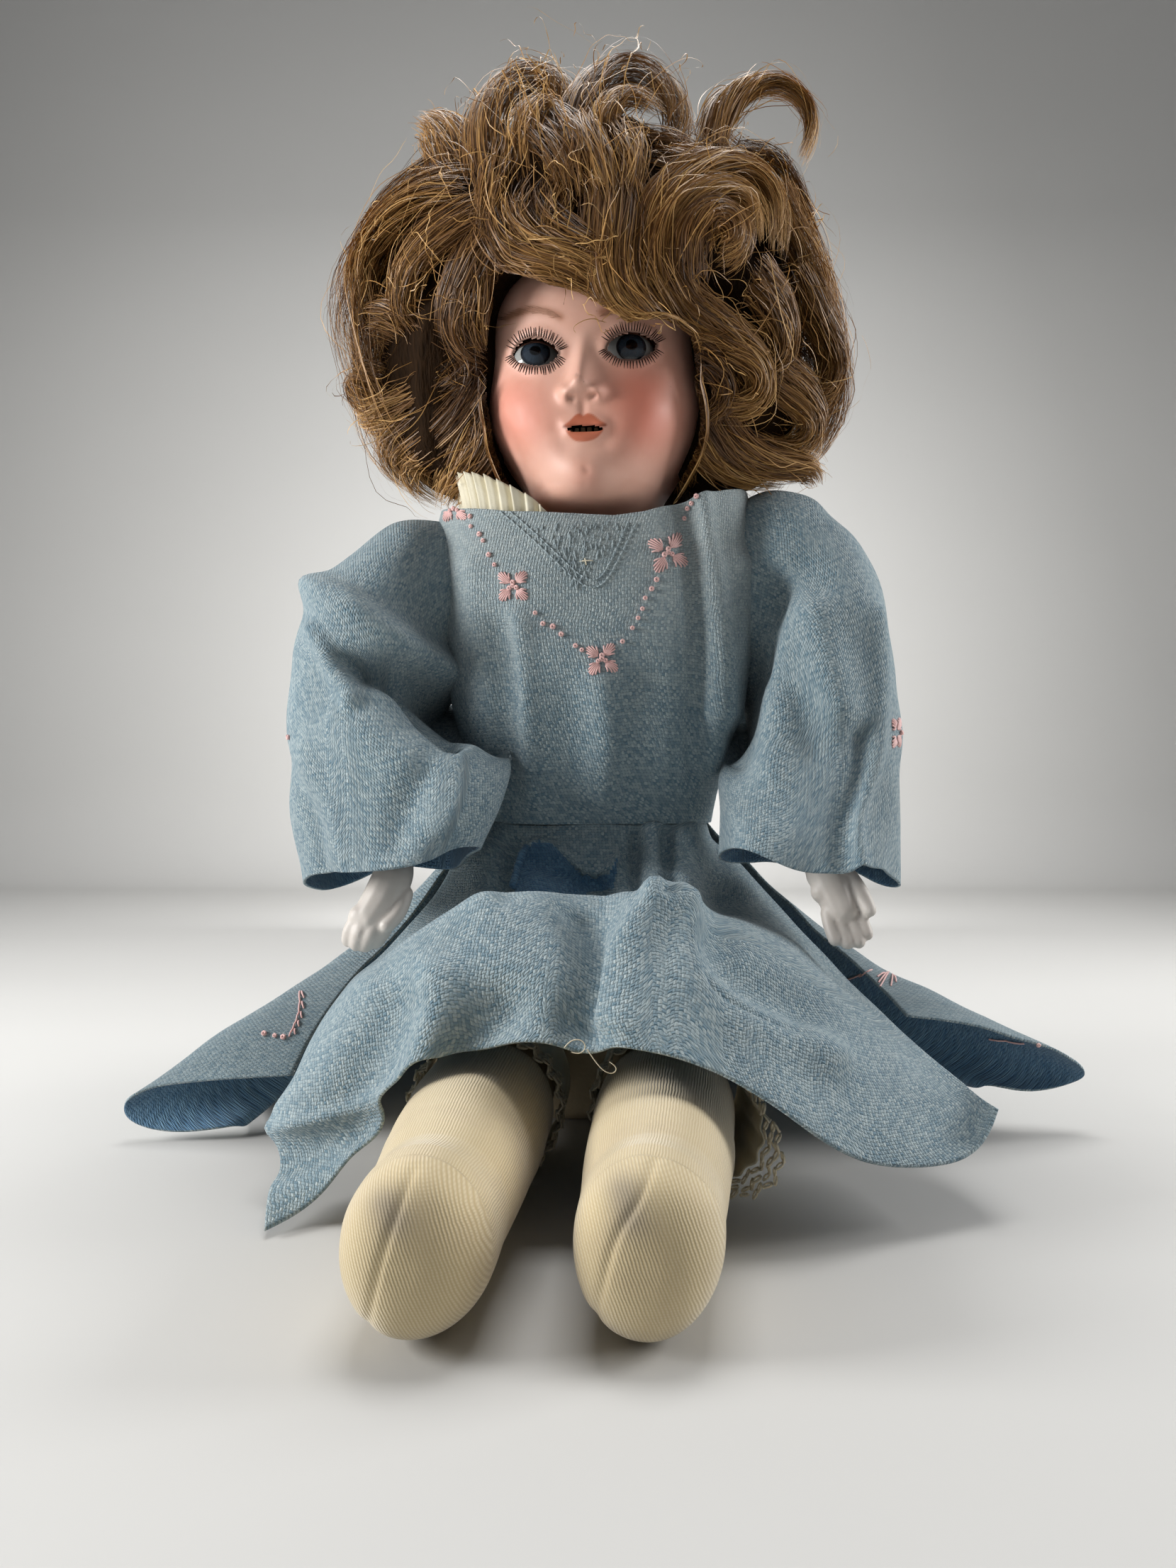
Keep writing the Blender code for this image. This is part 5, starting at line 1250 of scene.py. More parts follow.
for vert in turned:
    if isinstance(vert, bmesh.types.BMVert):
        vert.co += HEAD_TURN @ Vector((0, WALL * MM, 0))
        vert[wall_shade] = WALL_SHADE
shell.to_mesh(head.data)
shell.free()
made(head, "head", "bisque_head")

# Eyes, lashes and brows
# Blown glass eyes with painted irises under a clear front, and a wax-tinted upper lid that comes down when
# they close. Lashes and brows are single brush strokes of brown china paint on the bisque round them.
EYE_RADIUS = 10.0
EYE_COLUMNS = 72
EYE_MIDDLES = {"left": (17, -26.4, 61), "right": (-17, -26.4, 61)}
IRIS_PIXELS = {"left": (891, 487), "right": (755, 495)}
PUPIL_RADIUS = 2.0
IRIS_RADIUS = 5.2
# Distance from the gaze, in mm, that stands for the whole back of an eye.
BEHIND = 20.0
LID_EDGE = math.radians(39)
# Glass: mirror-smooth over a painted iris, with a black pupil, grey-blue spokes, a dark rim and grey white.
glass = Finish("blown_eye_glass", "C9CCCB", 0.08, IOR=1.5, Coat_Weight=1.0, Coat_Roughness=0.02)
from_gaze = glass.mask("from_gaze")
spokes = glass.noise(glass.node("Attribute", output="Vector", attribute_name="bearing"), 9.0, 4.0, 0.7)
tint = glass.mix(spokes, "161C23", "414E5B")
tint = glass.mix(glass.span(from_gaze, PUPIL_RADIUS - 0.15, PUPIL_RADIUS + 0.25), "07090C", tint)
tint = glass.mix(glass.span(from_gaze, IRIS_RADIUS - 1.1, IRIS_RADIUS - 0.1), tint, "10151B")
tint = glass.mix(glass.span(from_gaze, IRIS_RADIUS, IRIS_RADIUS + 0.35), tint, "A8A9A6")
glass.show("Base Color", glass.mix(glass.mask("lid"), tint, "D79C86"))

for side, place in EYE_MIDDLES.items():
    middle = Vector(in_head(np.array([place], float))[0])
    line = sight(IRIS_PIXELS[side])
    toward = middle - CAMERA_PLACE
    nearest = CAMERA_PLACE + line * toward.dot(line)
    short = math.sqrt(max(0.0, (EYE_RADIUS * MM) ** 2 - (nearest - middle).length_squared))
    gaze = (nearest - line * short - middle).normalized()
    to_gaze = Vector((0, 0, 1)).rotation_difference(gaze).to_matrix()
    polar = np.concatenate([np.linspace(0.02, 0.75, 40), np.linspace(0.8, np.pi - 0.02, 24)])
    turn = np.linspace(0, 2 * np.pi, EYE_COLUMNS, endpoint=False)
    bulge = EYE_RADIUS + 0.5 * np.exp(-((polar / 0.5) ** 2))
    wide = (bulge * np.sin(polar))[:, None]
    deep = (bulge * np.cos(polar))[:, None]
    ball = np.stack(np.broadcast_arrays(wide * np.cos(turn), wide * np.sin(turn), deep), axis=2)
    grid = ball @ np.array(to_gaze).T * MM + np.array(middle)
    eye = skin(side + "_glass_eye", facing_out(grid), glass, wrap=True, ends=True)
    local = (np.array([v.co for v in eye.data.vertices]) - np.array(middle)) / MM
    upward = local @ np.array(HEAD_TURN)
    local = local @ np.array(to_gaze)
    off_axis = np.where(local[:, 2] > 0, np.hypot(local[:, 0], local[:, 1]), BEHIND)
    marked(eye.data, "from_gaze", off_axis)
    spoke = local[:, :2] / np.maximum(off_axis, 0.3)[:, None]
    spoke = np.concatenate([spoke, off_axis[:, None] * 0.05], axis=1)
    layer = eye.data.attributes.new("bearing", "FLOAT_VECTOR", "POINT")
    layer.data.foreach_set("vector", spoke.astype(np.float32).ravel())
    level = np.arctan2(upward[:, 2], -upward[:, 1])
    marked(eye.data, "lid", np.clip((level - LID_EDGE) / 0.03, 0, 1) * (level < 2.6))
    made(eye, "eyes", side + "_eye")

# China paint: brown, thin at the ends of each stroke, a hair's breadth above the bisque.
china_paint = Finish("brown_china_paint", "241812", 0.7, Specular_IOR_Level=0.1)
china_paint.mottled(china_paint.place(), 700.0, 2.0, "1E1411", "3E2D26")
brow_paint = Finish("soft_brow_paint", "A97352", 0.55)
brow_paint.mottled(brow_paint.place(), 500.0, 2.0, "8F5F47", "B5876D")
LASHES = 58
LASH_LENGTH = 12.0
LASH_HALF_WIDTH = 0.9
LASH_SPREAD = 0.42
PAINT_LIFT = 0.00014


def brush_strokes(name, strokes, surface, finish):
    """Flat brush strokes on the head, each a line and a half width in pixels of the photograph."""
    points = []
    faces = []
    for line, half_width in strokes:
        line = np.array(line, float)
        step = np.gradient(line, axis=0)
        across = np.stack([-step[:, 1], step[:, 0]], axis=1)
        across = across / np.maximum(np.linalg.norm(across, axis=1, keepdims=True), 1e-9)
        width = half_width * np.interp(np.linspace(0, 1, len(line)), [0, 0.25, 1], [0.75, 1, 0.3])
        row = []
        for place, side_step, half in zip(line, across, width):
            for edge in (-1, 1):
                hit, normal, _, _ = surface.ray_cast(CAMERA_PLACE, sight(place + side_step * half * edge))
                row.append(hit + normal * PAINT_LIFT if hit else None)
        if any(p is None for p in row):
            continue
        first = range(len(points), len(points) + len(row) - 2, 2)
        points += row
        faces += [(k, k + 1, k + 3, k + 2) for k in first]
    piece = plain_mesh(name, points, faces, finish)
    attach(piece, "head")


head_tree = BVHTree.FromObject(head, bpy.context.evaluated_depsgraph_get())
rng = np.random.default_rng(3)
lash_strokes = []
for side, outline in EYE_OUTLINES.items():
    edge = rounded(outline, 240)
    middle = edge.mean(axis=0)
    for number in range(LASHES):
        at = edge[int((number + 0.5) / LASHES * len(edge))]
        away = (at - middle) / np.linalg.norm(at - middle)
        upper = at[1] < middle[1]
        if abs(away[1]) < 0.12:
            continue
        reach = LASH_LENGTH * (1.0 if upper else 0.85) * rng.uniform(0.85, 1.1)
        heading = away * (LASH_SPREAD, 1) + np.array([rng.normal(0, 0.05), 0])
        heading = heading / np.linalg.norm(heading)
        start = at + away * 1.5
        bend = np.array([0.0, -0.12 if upper else 0.12])
        line = [start + heading * reach * t + bend * reach * t * t for t in np.linspace(0, 1, 5)]
        lash_strokes.append((line, LASH_HALF_WIDTH))
brush_strokes("painted_lashes", lash_strokes, head_tree, china_paint)

BROW_STROKES = 120
BROW_LINES = {
    "right": [(713, 452), (727, 443), (745, 437), (764, 436), (781, 441), (791, 448)],
    "left": [(846, 446), (860, 436), (880, 429), (902, 428), (922, 434), (936, 444)],
}
brow_strokes = []
for side, line in BROW_LINES.items():
    spine = eased(line, BROW_STROKES)
    outward = -1 if side == "right" else 1
    for number in range(BROW_STROKES):
        heading = np.array([outward * rng.uniform(0.75, 1.0), -rng.uniform(0.05, 0.45)])
        spread = 5.5 * math.sin(math.pi * (number + 6) / (BROW_STROKES + 12))
        start = spine[number] + np.array([0, rng.uniform(-0.6, 1.0) * spread])
        reach = rng.uniform(9, 15)
        stroke = [start + heading * reach * t + np.array([0, 2.0 * t * t]) for t in np.linspace(0, 1, 5)]
        brow_strokes.append((stroke, rng.uniform(0.3, 0.5)))
brush_strokes("painted_brows", brow_strokes, head_tree, brow_paint)

# Teeth
# Five small upper teeth of glazed china on a strip, set behind the upper lip and stained with age.
enamel = Finish("aged_tooth_enamel", "CDB08C", 0.25, IOR=1.5, Coat_Weight=0.4)
enamel.mottled(enamel.place(), 420.0, 3.0, "8E6A48", "DCC7A4")
TEETH = 5
TOOTH_PITCH = 2.3
TOOTH_ROWS = 12
TOOTH_SIDES = 16
# Height on a tooth, half width and half depth, in mm.
TOOTH_SECTIONS = [(-1.6, 0.5, 0.35), (-1.4, 0.85, 0.6), (-0.4, 1.1, 0.8), (1.4, 1.0, 0.9), (2.6, 0.8, 0.8)]
tooth_points = []
tooth_faces = []
for number in range(TEETH):
    across = (number - 2) * TOOTH_PITCH
    rings = []
    for level, wide, deep in TOOTH_SECTIONS:
        middle = (across, -38.2 + 0.06 * across**2, 31.6 + level)
        rings.append(oval(middle, (wide, 0, 0), (0, deep, 0), TOOTH_SIDES, 2.6))
    index = np.arange(TOOTH_ROWS * TOOTH_SIDES).reshape(TOOTH_ROWS, TOOTH_SIDES) + len(tooth_points)
    tooth_points += list(in_head(eased(rings, TOOTH_ROWS)).reshape(-1, 3))
    beyond = np.roll(index, -1, axis=1)
    tooth_faces += np.stack([index[:-1], beyond[:-1], beyond[1:], index[1:]], axis=2).reshape(-1, 4).tolist()
    tooth_faces += [index[0, ::-1].tolist(), index[-1].tolist()]
teeth = plain_mesh("china_teeth", tooth_points, tooth_faces, enamel)
made(teeth, "head", "upper_teeth")

# Embroidery and stray threads
# Faded pink silk: flowers of four satin-stitched petals round a knot, joined by rows of French knots in a V
# below the yoke, and more on both skirt flaps and the sleeves. Two lines of running stitch mark the yoke, and
# one cream thread hangs from the hem.
# Embroidery silk: a soft, slightly shiny pink thread, paler where the light has reached it.
silk = Finish("faded_pink_silk", "DDA4A2", 0.55, Sheen_Weight=0.3)
silk.mottled(silk.place(), 500.0, 3.0, "D6A09C", "F0CCC6")
# Sewing cotton of the yoke lines: grey-blue, hardly lighter than the crepe.
sewing = Finish("grey_sewing_cotton", "93A3A8", 0.85)
sewing.mottled(sewing.place(), 700.0, 2.0, "7A8D97", "BAC4C4")


def threads(name, lines, finish, radius):
    """Round threads along lines of places."""
    tree, start, values = growth_tree(name, {"Thread radius": radius})
    curves = add(tree, "GeometryNodeMeshToCurve", {"Mesh": start.outputs["Places"]})
    coated(tree, round_thread(tree, curves, start.outputs["Thread radius"]), finish)
    places = []
    edges = []
    for line in lines:
        edges += [(len(places) + k, len(places) + k + 1) for k in range(len(line) - 1)]
        places += line
    return grown(name, places, edges, tree, values, finish)


def sewn(cloth):
    """A search tree over a piece of cloth, for what is sewn to it."""
    return BVHTree.FromObject(cloth, bpy.context.evaluated_depsgraph_get())


def on_cloth(tree, pixel):
    """Where the camera's sight through a pixel meets the cloth, and the cloth's direction there."""
    spot, normal, _, _ = tree.ray_cast(CAMERA_PLACE, sight(pixel))
    if spot is None:
        return None, None
    return spot, normal if normal.dot(CAMERA_PLACE - spot) > 0 else -normal


def stitches(tree, pairs, lift):
    """Arched stitches on the cloth between pairs of pixels, but for those that miss the cloth."""
    lines = []
    for first, last in pairs:
        line = []
        for share in (0.0, 0.2, 0.5, 0.8, 1.0):
            spot, normal = on_cloth(tree, np.array(first) * (1 - share) + np.array(last) * share)
            if spot is not None:
                line.append(spot + normal * lift * (4 * share * (1 - share) + 0.1))
        if len(line) == 5:
            lines.append(line)
    return lines


def petals(middle, size, turn, squash=1.0):
    """Satin stitches of a flower of four petals round a middle, in pixels; squash scales its width."""
    pairs = []
    for number in range(4):
        heading = turn + number * math.pi / 2
        along = np.array([math.cos(heading) * squash, math.sin(heading)])
        across = np.array([-math.sin(heading) * squash, math.cos(heading)])
        for place in np.linspace(-1, 1, 7):
            inner = size * (0.26 + 0.12 * abs(place))
            outer = size * (1.0 - 0.38 * place**2)
            spread = size * 0.33 * place
            root = middle + along * inner + across * spread * 0.45
            pairs.append((root, middle + along * outer + across * spread))
    return pairs


KNOT_RADIUS = 0.55 * MM
KNOT_THREAD = 0.42 * MM
SATIN_THREAD = 0.34 * MM
SATIN_LIFT = 0.0006
DRAWN_STITCHES = 120
# Flowers: middle and reach in pixels of the photograph, and the turn of the first petal.
BODICE_FLOWERS = [
    ((724, 827), 27, 0.75),
    ((849, 930), 27, 0.65),
    ((942, 780), 32, 0.55),
    ((641, 718), 22, 0.7),
]
BODICE_KNOTS = [
    *((664, 729), (665, 743), (677, 754), (682, 763), (690, 783), (698, 797), (755, 865), (766, 880)),
    *((780, 884), (792, 895), (812, 911), (821, 917), (878, 905), (892, 886), (900, 872), (906, 859)),
    *((910, 844), (919, 831), (926, 818), (965, 732), (970, 718), (976, 710), (983, 700), (993, 686)),
]
YOKE_LINES = [
    [(706, 722), (766, 772), (838, 849), (868, 800), (898, 736)],
    [(720, 722), (776, 770), (838, 836), (862, 792), (886, 736)],
]
bodice_tree = sewn(bodice)
satin = []
knots = list(BODICE_KNOTS)
for middle, size, turn in BODICE_FLOWERS:
    satin += petals(np.array(middle, float), size, turn)
    knots += [(middle[0] + dx, middle[1] + dy) for dx, dy in ((0, 0), (-5, 3), (5, 2), (0, -5))]
running = []
for line in YOKE_LINES:
    seam = eased(line, 97)
    running += [(seam[k], seam[k + 2]) for k in range(0, 94, 3)]
drawn = []
rng = np.random.default_rng(31)
for _ in range(DRAWN_STITCHES):
    across, down = rng.uniform(-1, 1), rng.uniform(0, 1)
    place = np.array([812 + across * 78 * (1 - down), 735 + down * 90])
    drawn.append((place, place + np.array([rng.uniform(-2, 2), rng.uniform(5, 9)])))
cream_stitch = [((818, 792), (836, 791)), ((825, 788), (827, 797))]


def stitched(name, lines, finish, radius, body="trunk"):
    """Threads along lines, riding on a body."""
    piece = threads(name, lines, finish, radius)
    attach(piece, body)


def knotted(name, tree, pixels, body):
    """French knots on the cloth at pixels of the photograph."""
    spots = [on_cloth(tree, p) for p in pixels]
    spots = [(spot + normal * KNOT_THREAD * 0.7, normal) for spot, normal in spots if spot is not None]
    places, facing = zip(*spots)
    piece = coiled(name, places, facing, silk, KNOT_RADIUS, KNOT_THREAD, 2.0, 7)
    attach(piece, body)


stitched("bodice_satin_stitch", stitches(bodice_tree, satin, SATIN_LIFT), silk, SATIN_THREAD)
knotted("bodice_french_knots", bodice_tree, knots, "trunk")
stitched("yoke_running_stitch", stitches(bodice_tree, running, 0.0004), sewing, 0.28 * MM)
stitched("yoke_drawn_thread", stitches(bodice_tree, drawn, 0.0003), sewing, 0.2 * MM)
stitched("yoke_cream_stitch", stitches(bodice_tree, cream_stitch, 0.0005), crochet, 0.25 * MM)

# Flaps: a row and knots on the right one, a flower and a trailing thread on the left one.
flap_tree = sewn(skirt_back)
flap_satin = petals(np.array([1260.0, 1362.0]), 34, 0.35, 1.25)
flap_satin += [((1195, 1382), (1215, 1374)), ((1212, 1378), (1230, 1368)), ((1290, 1372), (1318, 1376))]
flap_satin += [((1395, 1466), (1420, 1468)), ((1418, 1468), (1445, 1472))]
row = eased([(421, 1385), (424, 1405), (423, 1428), (416, 1446), (408, 1462)], 13)
flap_satin += [(row[k], row[k + 2]) for k in range(0, 11, 2)]
flap_satin += [(row[k] + np.array([3, 0]), row[k + 1] + np.array([6, 2])) for k in range(0, 12, 2)]
flap_knots = [(373, 1458), (388, 1461), (400, 1463), (438, 1372), (1464, 1474), (1258, 1362), (1266, 1364)]
stitched("flap_satin_stitch", stitches(flap_tree, flap_satin, SATIN_LIFT), silk, SATIN_THREAD)
knotted("flap_french_knots", flap_tree, flap_knots, "trunk")

# Sleeves: a knot at the outline of each, with a flower round the left one, seen edge on.
for side, outline, step in (("left", (1290, 1034), -2), ("right", (360, 1040), 2)):
    sleeve_tree = sewn(bpy.data.objects[side + "_crepe_sleeve"])
    columns = range(outline[0], outline[0] + 60 * step, step)
    edge = next(x for x in columns if on_cloth(sleeve_tree, (x, outline[1]))[0])
    knotted(side + "_sleeve_french_knot", sleeve_tree, [(edge + step, outline[1])], side + "_arm")
    if side == "left":
        flower = petals(np.array([edge + 4.0 * step, outline[1]]), 27, 0.75, 0.3)
        lines = stitches(sleeve_tree, flower, SATIN_LIFT)
        stitched("left_sleeve_satin_stitch", lines, silk, SATIN_THREAD, "left_arm")

# A cream thread caught on the front hem hangs from it in two loops.
hem_tree = sewn(skirt_front)
THREAD_LOOPS = [
    [(796, 1500), (806, 1488), (822, 1488), (828, 1500), (818, 1510), (806, 1506)],
    [(828, 1502), (840, 1520), (852, 1534), (866, 1538), (872, 1528), (860, 1520)],
]
THREAD_AHEAD = 0.0006
caught = THREAD_LOOPS[0][0]
hem_row = next(row for row in range(1540, 1380, -2) if on_cloth(hem_tree, (caught[0], row))[0])
hem_depth = on_cloth(hem_tree, (caught[0], hem_row))[0].y - CAMERA_PLACE.y - THREAD_AHEAD
loose = []
for loop in THREAD_LOOPS:
    lines = [sight(pixel + np.array([0, hem_row - caught[1]])) for pixel in eased(loop, 24)]
    loose.append([CAMERA_PLACE + line * (hem_depth / line.y) for line in lines])
stitched("hem_stray_thread", loose, crochet, 0.16 * MM, "left_leg")

# Shoulder plate, pate and hidden fittings
# The hard pieces of the solid model stay as they are and take their finishes: the bisque shoulder plate, the
# card pate that carries the wig, the beech neck plug with its steel bolt and nut, and the wire rocker with
# its lead weight.
# Card: grey-brown pressed paper with short fibres. Beech: pale wood with fine lines along the turning.
# Steel: drawn and slightly rusted. Lead: dull, dark and dented.
# For each: its finish, the light and the dark colour, roughness, metal share, and the scale of the grain.
FITTINGS = {
    "pate": ("pressed_card", "A08C6C", "7D6A4C", 0.95, 0.0, (600.0, 600.0, 600.0)),
    "neck_plug": ("turned_beech", "C49A66", "A87C4A", 0.6, 0.0, (90.0, 90.0, 1600.0)),
    "neck_bolt": ("drawn_steel", "8C8984", "6A5A4C", 0.4, 1.0, (300.0, 300.0, 900.0)),
    "neck_nut": ("cut_steel", "8C8984", "6A5A4C", 0.45, 1.0, (500.0, 500.0, 500.0)),
    "eye_rocker": ("rusted_wire", "7E766C", "5E4632", 0.5, 1.0, (700.0, 700.0, 700.0)),
    "eye_weight": ("cast_lead", "5C5E62", "44464A", 0.6, 1.0, (350.0, 350.0, 350.0)),
}
for node, (name, light, dark, roughness, metallic, scale) in FITTINGS.items():
    fitting = Finish(name, light, roughness, Metallic=metallic)
    run = fitting.node("Mapping", {"Vector": fitting.place(), "Scale": scale})
    grain = fitting.noise(run, 1.0, 4.0)
    fitting.show("Base Color", fitting.mix(grain, dark, light))
    fitting.bump(grain, 0.3, 0.0003)
    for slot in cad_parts[node].material_slots:
        slot.material = fitting.material
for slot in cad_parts["shoulder_plate"].material_slots:
    slot.material = bisque.material

# Wig
# Mohair, curled in damp locks and sewn in rows to a cap. Most locks have loosened into waves and sausage
# curls; two stand up as open loops, one swirls over the brow, and loose hairs stray all round.
WIG_MIDDLE = np.array([0.0, 8.0, 85.0])
WIG_REACH = np.array([86.0, 60.0, 80.0])
# Mohair: fine, glossy brown hairs, straw at the ends that the sun has bleached, and dark umber painted in the
# depths of the wig as shade.
mohair = Finish("brown_mohair", "5A3F26", 0.45, IOR=1.55, Specular_IOR_Level=0.35)
hair_tint = add(mohair.tree, "ShaderNodeValToRGB", {0: mohair.mask("tone")})
hair_tint.color_ramp.elements[0].color = linear("291A0E")
hair_tint.color_ramp.elements[1].color = linear("CFA568")
for share, hex_colour in ((0.28, "53371F"), (0.52, "7D572F"), (0.76, "AB7F46")):
    hair_tint.color_ramp.elements.new(share).color = linear(hex_colour)
mohair.show("Base Color", hair_tint.outputs["Color"])
# Painted shade: the hair under the locks is coloured near black, the brown of the shade between the locks.
shaded_underhair = Finish("shade_dark_matted_mohair", "24170E", 0.85, Specular_IOR_Level=0.08)
run = shaded_underhair.node("Mapping", {"Vector": shaded_underhair.place(), "Scale": (900.0, 900.0, 120.0)})
under_hairs = shaded_underhair.noise(run, 1.0, 4.0)
shaded_underhair.show("Base Color", shaded_underhair.mix(under_hairs, "0C0704", "33210F"))
shaded_underhair.bump(under_hairs, 0.9, 0.001)

# The matted hair under the locks: height, half width, reach to the front and to the back, and the angle left
# open in front.
UNDER_SECTIONS = [
    (18, 46, 22, 34, 62),
    (24, 66, 30, 52, 58),
    (40, 78, 36, 62, 52),
    (62, 82, 40, 68, 50),
    (82, 80, 42, 70, 46),
    (94, 78, 44, 69, 30),
    (104, 75, 48, 67, 0),
    (124, 66, 46, 60, 0),
    (142, 52, 37, 47, 0),
    (154, 32, 22, 28, 0),
    (158, 6, 5, 5, 0),
]
UNDER_COLUMNS = 110
rings = []
for height, half_width, front, back, opening in UNDER_SECTIONS:
    turn = np.radians(np.linspace(-90 + opening, 270 - opening, UNDER_COLUMNS))
    around = np.concatenate([turn, turn[::-1]])
    at_end = height in (UNDER_SECTIONS[0][0], UNDER_SECTIONS[-1][0])
    inner = np.repeat([1.0, 0.94 if at_end else 0.56], UNDER_COLUMNS)
    x = np.cos(around) * half_width * inner
    y = np.sin(around) * np.where(np.sin(around) < 0, front, back) * inner
    rings.append(np.stack([x, y, np.full(2 * UNDER_COLUMNS, float(height))], axis=1))
under_grid = (eased(rings, 90) + np.array(HEAD_PIVOT)) * MM
under_grid = dented(under_grid, True, 0.012, 0.003, 11)
matted = skin("matted_mohair_cap", under_grid, shaded_underhair, wrap=True)
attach(matted, "head")

STRAND_POINTS = 22
PATH_POINTS = 60
STRAND_HALF_WIDTH = 0.17
